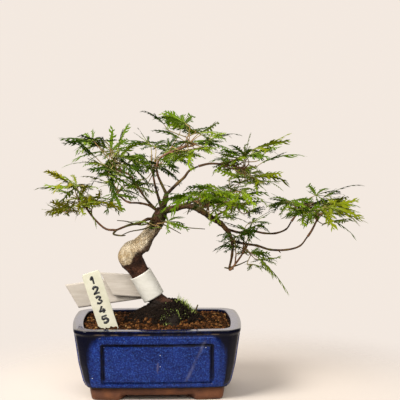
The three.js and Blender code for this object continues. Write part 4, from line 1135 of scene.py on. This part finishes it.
class Mass:
    """One mass of foliage: its own space, and the stem, twigs and leaves that grow in it."""

    def __init__(self, name):
        carrier, heart, reach, self.count, self.leaf, tip, self.seed = MASSES[name]
        self.name = name
        self.heart, self.reach, self.tip = (np.array(v, float) for v in (heart, reach, tip))
        others = [m for other, m in MASSES.items() if other != name]
        away = np.array([m[1] for m in others], float) - self.heart
        self.walls = unit(away)
        own = 1 / np.linalg.norm(self.walls / self.reach, axis=1)
        theirs = 1 / np.linalg.norm(self.walls / np.array([m[2] for m in others], float), axis=1)
        self.limits = np.linalg.norm(away, axis=1) * own / (own + theirs)
        self.stem = self.grow_stem(carrier)

    def grow_stem(self, carrier):
        """The stem goes on from its bough's tip, or from the bark, and turns up into the heart."""
        heart = self.heart - UP * STEM["below"] * self.reach[2]
        if isinstance(carrier, str):
            bough = Route(BOUGHS[carrier][1])
            start, ahead = bough.at(1), bough.ahead(1)
        else:
            start = np.array(carrier, float)
            ahead = unit(heart - start)
        start = start + STEM["clear"] * ahead
        span = np.linalg.norm(heart - start)
        first = start + (heart - start + ahead * span) * STEM["first"]
        second = start + (heart - start) * STEM["second"] + ahead * STEM["second_ahead"] * span
        return Route([start, first, second, heart])

    def in_cell(self, points):
        """Whether each point lies within the planes that part this mass from the others."""
        return ((points - self.heart) @ self.walls.T - self.limits < -CLEAR["cell"]).all(-1)

    def in_reach(self, points):
        """Whether each point lies within the mass's ellipsoid."""
        return np.linalg.norm((points - self.heart) / self.reach, axis=-1) < CLEAR["reach"]

    def leading_leaf(self, tip, size=1):
        """The leaf whose tip lies at a given point."""
        out = unit(tip - self.heart)
        lift = LEAF["droop"] * out[2]
        run = math.sqrt(lift**2 + 1 - LEAF["droop"] ** 2) - lift
        ahead = out * run + UP * LEAF["droop"]
        hub = tip - out * self.leaf * size * run
        return {"hub": hub, "length": self.leaf * size, "axes": leaf_axes(ahead, 0.0), "plan": LEADING_LOBES}

    def leaf_at(self, k, draw):
        """The k-th place to try for a leaf: the golden angle round the stem, at a height that also
        steps round."""

        def jitter():
            return (draw() - 0.5) * 2 * GROWTH["jitter"]

        height = (k * GROWTH["step"]) % 1
        lead = math.atan2(self.tip[1] - self.heart[1], self.tip[0] - self.heart[0])
        turn = lead + k * math.radians(GROWTH["turn"])
        rise = GROWTH["top"] + (GROWTH["bottom"] - GROWTH["top"]) * height
        out = GROWTH["out"] * math.sqrt(1 - rise * rise) * (0.4 + 0.6 * draw())
        x, y, z = self.reach
        hub = self.heart + np.array([x * out * math.cos(turn), y * out * math.sin(turn), z * rise])
        pitch = math.atan(GROWTH["tilt"] * z * rise / self.leaf) + jitter()
        azimuth = math.atan2(y * math.sin(turn), x * math.cos(turn)) + 2 * jitter()
        level = math.cos(pitch)
        ahead = np.array([math.cos(azimuth) * level, math.sin(azimuth) * level, math.sin(pitch)])
        tried = min(k / GROWTH["tries"], 1)
        size = GROWTH["largest"] + (GROWTH["smallest"] - GROWTH["largest"]) * tried
        return {"hub": hub, "length": self.leaf * size, "axes": leaf_axes(ahead, jitter()), "plan": LOBES}

    def fitting_lobes(self, leaf, taken, apart):
        """The lobes that a leaf keeps: each is shortened until it stays in the mass's space, off the
        limbs and `apart` from the points that are taken, or is left out."""
        kept = []
        for degrees, share in leaf["plan"]:
            angle = math.radians(degrees)
            for shrink in (1, 0.85, 0.7):
                length = leaf["length"] * share * shrink
                half = LEAF["half"] * length
                rib = leaf_points(leaf, angle, RIB_MARKS * length, 0, length)
                edges = leaf_points(leaf, angle, LEAF["widest"] * length, np.array([-half, half]), length)
                both = np.vstack([rib, edges])
                fits = leaf["plan"] is LEADING_LOBES or self.in_reach(both).all()
                fits = fits and self.in_cell(both).all()
                fits = fits and clear_of_limbs(both, CLEAR["limb"] + 0.5 * half).all()
                if fits and len(taken):
                    fits = np.linalg.norm(rib[:, None] - taken, axis=-1).min() > apart
                if fits:
                    kept.append((angle, length))
                    break
        return kept

    def leaves(self):
        """The leaves in the order in which they are found: the leading one, those of the solids, and
        then smaller ones that may sit closer together."""
        draw = seeded(self.seed)
        found, taken = [], np.zeros((0, 3))
        wanted = round(self.count * (1 if self.name == "fork" else FULLER["leaves"]))
        for k in range(FULLER["tries"]):
            if len(found) >= wanted:
                break
            extra = len(found) >= self.count or k >= GROWTH["tries"]
            leaf = self.leading_leaf(self.tip) if k == 0 else self.leaf_at(k, draw)
            hub = leaf["hub"][None]
            if not self.in_cell(hub).all() or not clear_of_limbs(hub, 2 * CLEAR["limb"]).all():
                continue
            spacing = FULLER["spacing"] if extra else GROWTH["spacing"]
            if any(np.linalg.norm(other["hub"] - leaf["hub"]) < spacing for other in found):
                continue
            leaf["lobes"] = self.fitting_lobes(leaf, taken, FULLER["leaf"] if extra else CLEAR["leaf"])
            if len(leaf["lobes"]) < len(leaf["plan"]) - GROWTH["spare"]:
                continue
            found.append(leaf)
            for angle, length in leaf["lobes"]:
                taken = np.vstack([taken, leaf_points(leaf, angle, RIB_MARKS * length, 0, length)])
        for tip in SHOOT_TIPS.get(self.name, []):
            leaf = self.leading_leaf(np.array(tip, float), SHOOT_LEAF)
            long = leaf["length"]
            leaf["lobes"] = [(math.radians(degrees), long * share) for degrees, share in LEADING_LOBES]
            found.append(leaf)
        return found

    def stalk_fits(self, stalk):
        """Whether a stalk keeps to the mass's cell and off the limbs."""
        points = stalk.at(np.array([0.25, 0.5, 0.75, 1]))
        return self.in_cell(points).all() and clear_of_limbs(points, CLEAR["twig"]).all()

    def grow(self):
        """Twigs and leaves: two leaves share a twig, which leaves the stem part of the way up and parts
        into their stalks. A leaf whose stalk can't grow is skipped."""
        leaves = self.leaves()
        twigs, stalks, kept = [(self.stem, *TWIGS["stem"])], [], []
        for k in range(0, len(leaves), 2):
            pair = leaves[k : k + 2]
            rooted = k if k < self.count else (k * 7) % self.count
            root = self.stem.at(1 - GROWTH["twig_share"] * rooted / self.count)
            fork = root + (np.mean([leaf["hub"] for leaf in pair], axis=0) - root) * FORK["parts"]
            sag = (root + fork) / 2 - UP * FORK["sag"] * np.linalg.norm(fork - root)
            twigs.append((Route([root, sag, fork]), *TWIGS["twig"]))
            for leaf in pair:
                bend = leaf["hub"] - leaf["axes"][0] * GROWTH["arrival"] - UP
                stalk = Route([fork, bend, leaf["hub"]])
                if self.stalk_fits(stalk):
                    stalks.append((stalk, *TWIGS["stalk"]))
                    kept.append(dict(leaf, spray=k // 2, share=SPARSE.get(self.name, 1) if k else 1))
        return twigs, stalks, kept


def leaf_axes(ahead, roll):
    """A leaf's own axes: ahead, aside and up."""
    level = unit(np.cross(UP, ahead))
    upright = np.cross(ahead, level)
    aside = level * math.cos(roll) + upright * math.sin(roll)
    return ahead, aside, np.cross(ahead, aside)


def leaf_points(leaf, angle, r, w, length):
    """Points of a leaf: r out along a lobe and w to its side. A lobe hangs as the square of how far out
    it is."""
    ahead, aside, _ = leaf["axes"]
    r, w = np.broadcast_arrays(np.asarray(r, float), np.asarray(w, float))
    along = r * math.cos(angle) - w * math.sin(angle)
    across = r * math.sin(angle) + w * math.cos(angle)
    hang = LEAF["droop"] * length * (r / length) ** 2
    return leaf["hub"] + ahead * along[:, None] + aside * across[:, None] - UP * hang[:, None]


# ---- Foliage: lace leaves ------------------------------------------------------------------------------

# The five greens.
TINTS = {
    "deep": (0.029, 0.06, 0.002),
    "mid": (0.082, 0.146, 0.003),
    "fresh": (0.165, 0.24, 0.005),
    "olive": (0.165, 0.195, 0.004),
    "gold": (0.215, 0.205, 0.005),
}
# The greens that the sprays of each mass take in turn.
PALETTES = {
    "upper_left": "deep mid deep mid fresh",
    "low_left": "gold olive fresh gold olive",
    "left_back": "mid fresh olive mid",
    "top": "mid fresh mid deep fresh",
    "upper_right": "fresh mid olive fresh mid",
    "right_centre": "mid deep fresh mid",
    "far_right_back": "mid deep fresh mid",
    "far_right_front": "olive fresh mid olive",
    "drooping": "deep mid deep fresh",
    "front": "mid fresh deep mid",
    "fork": "deep mid",
    "back": "mid deep fresh",
    "back_right": "mid fresh deep",
}
# Each fine lobe's angle, its length as a share of the leaf's, how much shorter it is beyond an angle
# from every lobe of the solid's leaf, and how a leading leaf differs.
FINE_LOBES = np.radians([-108, -72, -36, 0, 36, 72, 108])
FINE_SHARES = np.array([0.4, 0.68, 0.9, 1, 0.9, 0.68, 0.4])
STRAY = {"angle": 0.75, "shorter": 0.6}
LEADING = {"slim": 0.72, "spread": 0.6, "shares": np.array([0.2, 0.42, 0.7, 1, 0.7, 0.42, 0.2])}
# A lobe's blade: how far out its rows lie and half its breadth there, and how far its middle is sunk.
BLADE_OUT = [0.02, 0.17, 0.32, 0.47, 0.61, 0.74, 0.88, 1.0]
BLADE_HALF = [0.012, 0.026, 0.037, 0.041, 0.037, 0.028, 0.018, 0.0]
BLADE_SUNK = 0.006
# Its side lobes: degrees from the blade at its root and how far that closes towards the tip, length in
# the middle and at the ends, the step between those of the two edges, and how they bend off its face.
TOOTH = {"turn": 30, "closes": 12, "long": 0.16, "least": 0.05, "step": 0.05, "lift": 0.004, "bend": 0.25}
# The corners of a side lobe, along and across it.
KITE = [(0, 0), (0.45, -0.15), (1, 0), (0.35, 0.15)]
# How much of a lobe's droop is its thread's, and the ribs: radii and places along the lobe.
HANGING_TIP = 0.35
RIB = {"out": [0.0, 0.2, 0.4, 0.6], "thick": [0.5, 0.4, 0.28, 0.12], "flat": 0.8, "sunk": 0.1}


def lace_lobe():
    """The pattern of one lobe, as shares of its length: out along it, to its side, and off its face.

    A slim blade runs from the hub to a thread. From both its edges grow side lobes that point forward,
    long at the middle of the blade and short towards its ends, each a kite with its widest point before
    its middle. With the points come the root of each one's side lobe and that side lobe's number, and 0
    for the blade itself."""
    rows = len(BLADE_OUT)
    points = []
    for out, half in zip(BLADE_OUT[:-1], BLADE_HALF):
        points += [(out, -half, 0), (out, 0, -BLADE_SUNK), (out, half, 0)]
    points.append((1.0, 0, 0))
    faces = []
    for k in range(rows - 2):
        a, b = 3 * k, 3 * k + 3
        faces += [(a, b, b + 1, a + 1), (a + 1, b + 1, b + 2, a + 2)]
    last = 3 * (rows - 2)
    thread = [(last, last + 3, last + 1), (last + 1, last + 3, last + 2)]
    roots, numbers = list(points), [0] * len(points)
    for k in range(1, rows - 1):
        for side in (-1, 1):
            out = BLADE_OUT[k]
            uneven = 0.8 + 0.2 * ((2 * k + side) % 3)
            long = (TOOTH["long"] * math.sin(math.pi * (1.02 - out) ** 0.8) + TOOTH["least"]) * uneven
            turn = math.radians(TOOTH["turn"] - TOOTH["closes"] * out)
            start = out + TOOTH["step"] * (side + 1) / 2
            first = len(points)
            for along, across in KITE:
                x = start + long * (along * math.cos(turn) + across * math.sin(turn))
                y = BLADE_HALF[k] * 0.6 + long * (along * math.sin(turn) - across * math.cos(turn))
                points.append((x, side * y, TOOTH["lift"] - TOOTH["bend"] * y))
                roots.append(points[first])
                numbers.append(2 * k + (side + 1) // 2)
            quad = (first, first + 1, first + 2, first + 3)
            faces.append(quad if side < 0 else quad[::-1])
    return np.array(points), np.array(roots), np.array(numbers), [np.array(faces), np.array(thread)]


def lobes_of(leaf, rng):
    """The fine lobes of one leaf: [angle, length, hang, curl, roll, breadth]. Each is as long as the
    solid's lobes are where it lies."""
    known = sorted(leaf["lobes"])
    angles, lengths = zip(*known)
    leads = leaf["plan"] is LEADING_LOBES
    shares = LEADING["shares"] if leads else FINE_SHARES
    made = []
    for angle, share in zip(FINE_LOBES, shares):
        near = np.interp(angle, angles, lengths)
        length = min(near, share * leaf["length"]) * rng.uniform(0.8, 1.0)
        if min(abs(angle - known_angle) for known_angle in angles) > STRAY["angle"]:
            length *= STRAY["shorter"]
        length *= leaf["share"]
        hang, curl, roll = rng.uniform(-0.4, 1.5), rng.normal(0, 0.1), rng.normal(0, 0.6)
        turned = angle * (LEADING["spread"] if leads else 1) + rng.normal(0, 0.08)
        if leads and share == 1:
            turned, length, hang, curl = 0.0, 0.998 * near, 1.0, 0.0
        made.append((turned, length, hang, curl, roll, LEADING["slim"] if leads else 1))
    return made


def lace_leaves(leaves, rng):
    """All the lobes of some leaves at once, and their ribs. A lobe lies along its angle in the leaf's
    plane, rolls about its rib, curls sideways as the square of the way out, and hangs as the square,
    and at its thread as the fourth power. A rib is a three-sided spine that thins out under the first
    part of the lobe."""
    rows = [(leaf, lobe) for leaf in leaves for lobe in lobes_of(leaf, rng)]
    hub = np.array([leaf["hub"] for leaf, _ in rows])[:, None]
    ahead, aside, up = (np.array([leaf["axes"][k] for leaf, _ in rows])[:, None] for k in range(3))
    angle, long, hang, curl, roll, breadth = np.array([lobe for _, lobe in rows]).T[..., None]

    def laid(out, across, off):
        """Points out along the lobes, across them and off their faces, as they lie from the hub."""
        r, w = out * long, across + curl * long * out**2
        along, sideways = r * np.cos(angle) - w * np.sin(angle), r * np.sin(angle) + w * np.cos(angle)
        fall = LEAF["droop"] * hang * long * (out**2 + HANGING_TIP * out**4) / (1 + HANGING_TIP)
        level = ahead * along[..., None] + aside * sideways[..., None] + up * off[..., None]
        return level - UP * fall[..., None]

    pattern, roots, numbers, faces = lace_lobe()
    grown = rng.uniform(0.45, 1.25, (len(rows), numbers.max() + 1))
    grown[:, 0] = 1
    pattern = roots + (pattern - roots) * grown[:, numbers, None]
    out, side, off = pattern.transpose(2, 0, 1)
    slim = np.clip(40 / long, 0.9, 1.5) * breadth * rng.uniform(0.75, 1.2, (len(rows), 1))
    across = side * long * slim
    spread = laid(out, across * np.cos(roll), off * long + across * np.sin(roll))
    low, high = (np.array(corner) * METRE - POT_PLACE for corner in CAD_BOX)
    room = np.where(spread > 0, high - hub, hub - low) / np.maximum(np.abs(spread), 1e-6)
    inside = np.clip(room.min((1, 2)) * 0.999, 0, 1)[:, None, None]
    blades_made = copies(hub + spread * inside, faces)

    around = np.tile(np.radians([90, 210, 330]), len(RIB["out"]))
    out, thick = np.repeat(RIB["out"], 3), np.repeat(RIB["thick"], 3)
    across, off = thick * np.cos(around) * RIB["flat"], thick * np.sin(around) - RIB["sunk"]
    spread = laid(out, across, off + 0 * long)
    return blades_made, copies(hub + spread * inside, shell_faces(len(RIB["out"]), 3))


# ---- Paper tag and label -------------------------------------------------------------------------------

# The band about the trunk, between two places on the trunk's route.
TAG = {"bore": 9.95, "wall": 0.5, "breadth": 25.5, "low": (-3.2, 0.5, 88.6), "high": (-15.2, 0.5, 109.6)}
# Each tail: its reach, how far behind the trunk it lies, how far its end sweeps back, and its drop per
# reach.
TAILS = [(66, 0.45, 3.0, 0.15), (33, -0.35, -2.0, -0.08)]
TAIL = {"off_axis": 5.2, "thick": 0.35, "wave": 0.5}
# The plate, where its foot stands, and in degrees how far it leans and tilts.
LABEL = {"width": 17, "length": 74, "thick": 0.8, "foot": (-37.5, -34, 46), "lean": 18, "tilt": 5}


def tag_axes():
    """The band's middle, the trunk's direction there, and the direction square to that on its left."""
    low, high = np.array(TAG["low"]), np.array(TAG["high"])
    axis = unit(high - low)
    return (low + high) / 2, axis, np.array([-axis[2], 0, axis[0]])


def tag_ring():
    """The paper band: once round the trunk, a little out of round, as a shell that is closed at both
    edges."""
    middle, axis, side = tag_axes()
    behind = np.cross(axis, side)
    rows, sides = 24, 120
    angle = np.linspace(0, 2 * math.pi, sides, endpoint=False)
    along = np.concatenate([np.linspace(-1, 1, rows), np.linspace(1, -1, rows)])[:, None] * TAG["breadth"] / 2
    wall = np.repeat([TAG["wall"], 0], rows)[:, None]
    field = np.stack([np.cos(angle) + 0 * along, np.sin(angle) + 0 * along, along / 12 + 0 * angle], -1)
    radius = TAG["bore"] + wall + 0.16 * ripple(field * 9, 16, 41)
    points = middle + axis * along[..., None] + side * (radius * np.cos(angle))[..., None]
    points = points + behind * (radius * np.sin(angle))[..., None]
    return points.reshape(-1, 3), [grid_faces(2 * rows + 1, sides) % (2 * rows * sides)]


def tag_tail(reach, back, sweep, drop):
    """One end of the strip: a flat sheet that runs on from behind the trunk, with a slow wave in it."""
    middle, axis, side = tag_axes()
    behind = math.sqrt((TAG["bore"] + 0.4) ** 2 - TAIL["off_axis"] ** 2)
    start = middle + side * TAIL["off_axis"] + np.array([0, behind + back - 0.4, 0])
    share = np.linspace(0, 1, 40)
    run = start + np.outer(share, (-reach, sweep, -drop * reach))
    across = np.linspace(-0.5, 0.5, 14) * TAG["breadth"]
    sheet = run[:, None] + axis * across[:, None]
    sheet[..., 1] += TAIL["wave"] * np.sin(3.2 * share)[:, None] * (1 + across / 30) * share[:, None]
    half = np.array([0, TAIL["thick"] / 2, 0])
    both = np.concatenate([sheet - half, (sheet + half)[:, ::-1]], 1)
    return both.reshape(-1, 3), shell_faces(len(share), 2 * len(across))


def label_place(x, y, z):
    """Points of the label's own plate, x across it and z up it from the foot, tilted back and leaned to
    -X."""
    tilt, lean = -math.radians(LABEL["tilt"]), -math.radians(LABEL["lean"])
    y, z = y * math.cos(tilt) - z * math.sin(tilt), y * math.sin(tilt) + z * math.cos(tilt)
    x, z = x * math.cos(lean) + z * math.sin(lean), -x * math.sin(lean) + z * math.cos(lean)
    return np.stack([x, y, z], -1) + np.array(LABEL["foot"])


def label_plate():
    """The plate: a rounded rectangle carried through its thickness, with eased edges. The rectangle is
    a circle whose coordinates are raised to small powers."""
    angle = np.linspace(0, 2 * math.pi, 160, endpoint=False)
    level, upright = np.cos(angle), np.sin(angle)
    x = np.sign(level) * np.abs(level) ** 0.16 * (LABEL["width"] / 2)
    z = np.sign(upright) * np.abs(upright) ** 0.1 * (LABEL["length"] / 2)
    scale = np.array([0.02, 0.7, 0.98, 1.0, 1.0, 0.98, 0.7, 0.02])[:, None]
    depth = np.array([-1, -1, -1, -0.7, 0.7, 1, 1, 1])[:, None] * LABEL["thick"] / 2
    plate = label_place(scale * x, depth + 0 * x, scale * z + LABEL["length"] / 2)
    return plate.reshape(-1, 3), shell_faces(len(scale), len(angle), inside_out=True)


# The figures 1 to 5, as the points of their strokes, across and up.
STROKES = [
    [[(-0.25, 0.6), (0.05, 0.95), (0.05, 0.0)]],
    [[(-0.35, 0.7), (-0.05, 0.98), (0.32, 0.74), (0.1, 0.4), (-0.36, 0.04), (0.02, 0.08), (0.4, 0.04)]],
    [[(-0.32, 0.85), (0.02, 0.98), (0.3, 0.76), (-0.02, 0.54), (0.34, 0.28), (0.02, 0.02), (-0.36, 0.16)]],
    [
        [(0.1, 0.98), (-0.15, 0.6), (-0.38, 0.32), (0.0, 0.33), (0.42, 0.34)],
        [(0.18, 0.62), (0.16, 0.3), (0.14, 0.0)],
    ],
    [
        [(0.34, 0.95), (0.0, 0.95), (-0.28, 0.94), (-0.3, 0.56), (0.1, 0.6), (0.34, 0.3), (0.02, 0.03),
            (-0.34, 0.12)],
    ],
]
# A figure's size, how far the first one's middle is below the plate's top, the step down to the next, how
# far left of the plate's middle they stand, and the pen's breadth. The ink's two faces, off the plate's face.
FIGURES = {"wide": 7.0, "tall": 6.6, "first": 7.8, "pitch": 9.2, "left": 0.4, "pen": 0.95}
INK = (-0.12, 0.05)


def label_marks():
    """The figures 1 to 5, one under another, in pen strokes: a flat ribbon along each stroke whose
    breadth swells and thins, on the plate's front face."""
    front = -LABEL["thick"] / 2
    steps = 26
    t = np.linspace(0, 1, steps)
    parts = []
    for row, strokes in enumerate(STROKES):
        down = FIGURES["first"] + FIGURES["pitch"] * row
        half = (FIGURES["pen"] + 0.2 * np.sin(5 * t + row))[:, None]
        for stroke in strokes:
            flat = Route([(x * FIGURES["wide"], 0, (y - 0.5) * FIGURES["tall"]) for x, y in stroke])
            line, ahead = flat.at(t), flat.ahead(t)
            across = np.stack([-ahead[:, 2], 0 * t, ahead[:, 0]], -1) * half
            edges = np.stack([line - across, line + across], 1)
            x, z = edges[..., 0] - FIGURES["left"], edges[..., 2] + LABEL["length"] - down
            over, under = (label_place(x, front + lift + 0 * x, z) for lift in INK)
            ring = np.concatenate([over, under[:, ::-1]], 1)
            parts.append((ring.reshape(-1, 3), shell_faces(steps, 4)))
    return gather(parts)


# ---- Assembly -------------------------------------------------------------------------------------------


def dress_pot():
    """The glazed body and the bare base."""
    body, marks = glazed_body()
    cobalt = finish("cobalt glaze", glaze, Specular_IOR_Level=0.12)
    make_piece("pot_glaze", body, cobalt, ["pot"], marks)
    make_piece("pot_foot", clay_foot(), finish("bare clay", bare_clay), stands_for=["pot"])


def dress_soil():
    """The bed, its grains, the crumbs of earth round the trunk's foot, and the moss."""
    bed = mottled_finish("damp soil", Specular_IOR_Level=0.1)
    make_piece("soil_bed", soil_bed(), bed, ["soil"])
    for shade, (count, seed) in GRAINS.items():
        grain = mottled_finish(f"{shade} grains", Specular_IOR_Level=0.1)
        make_piece(f"soil_grains_{shade}", grains(count, seed), grain, smooth=False)
    earth = mottled_finish("black earth", Specular_IOR_Level=0.1)
    make_piece("mound_crumbs", mound_crumbs(*CRUMBS), earth, smooth=False)
    for name, (moss, patches) in MOSS.items():
        make_piece(name, gather([moss_patch(*patch) for patch in patches]), mottled_finish(moss))


def nodes_named(start):
    """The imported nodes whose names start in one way."""
    return sorted(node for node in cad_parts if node.startswith(start))


def dress_limbs():
    """The trunk, the stump on it, green shoots, and the boughs."""
    trunk, marks = trunk_shape()
    make_piece("trunk_bark", trunk, finish("bark", bark, Specular_IOR_Level=0.2), ["trunk"], marks)
    cut_wood = mottled_finish("cut wood", Specular_IOR_Level=0.2)
    make_piece("trunk_stub", stub_shape(), cut_wood, ["trunk"])
    shoots = gather([tube(Route(points), ends, 6, 18) for points, ends in SHOOTS])
    make_piece("shoots", shoots, mottled_finish("green shoot", Specular_IOR_Level=0.3))
    limb = finish("limb bark", limb_bark, Specular_IOR_Level=0.15)
    make_piece("bough_bark", bough_shapes(), limb, nodes_named("bough_"))


def thin_tubes(rows, sides):
    """Many thin limbs as one shape."""
    return gather([tube(route, ends, sides, steps, (0.2, 1, 0.1)) for route, ends, steps in rows])


def dress_crown():
    """The stems, twigs, stalks and leaves of every mass. A leaf's green goes by its spray."""
    twigs, stalks, by_tint = [], [], {tint: [] for tint in TINTS}
    for name in MASSES:
        mass = Mass(name)
        some_twigs, some_stalks, leaves = mass.grow()
        twigs += some_twigs
        stalks += some_stalks
        palette = PALETTES[name].split()
        for leaf in leaves:
            by_tint[palette[(leaf["spray"] * 3 + mass.seed) % len(palette)]].append(leaf)
    mass_nodes = nodes_named("foliage_")
    make_piece("twigs", thin_tubes(twigs, 6), mottled_finish("young twig"), mass_nodes)
    make_piece("leaf_stalks", thin_tubes(stalks, 5), mottled_finish("leaf stalk"), mass_nodes)
    rng = np.random.default_rng(33)
    ribs = []
    for tint, leaves in by_tint.items():
        lace, some_ribs = lace_leaves(leaves, rng)
        ribs.append(some_ribs)
        green = finish(f"{tint} leaf", leaf_green(TINTS[tint]), Specular_IOR_Level=0.04)
        make_piece(f"leaves_{tint}", lace, green, mass_nodes)
    make_piece("leaf_ribs", gather(ribs), mottled_finish("leaf rib"), mass_nodes)


def dress_tag():
    """The white band, and its two tails: the same paper, darker as painted shade."""
    white = finish("white paper", paper((0.78, 0.76, 0.7), (0.7, 0.68, 0.61)))
    # Painted shade: the tails are the band's paper, darker.
    shaded = finish("grey paper", paper((0.62, 0.565, 0.5), (0.52, 0.465, 0.4)))
    make_piece("tag_band", tag_ring(), white, ["paper_tag"])
    make_piece("tag_tails", gather([tag_tail(*tail) for tail in TAILS]), shaded, ["paper_tag"])


def dress_label():
    """The plate and the figures on it."""
    make_piece("label_plate", label_plate(), mottled_finish("label plastic"), ["plant_label"])
    make_piece("label_figures", label_marks(), mottled_finish("pen ink"))


camera()
studio()
dress_pot()
dress_soil()
dress_limbs()
dress_crown()
dress_tag()
dress_label()
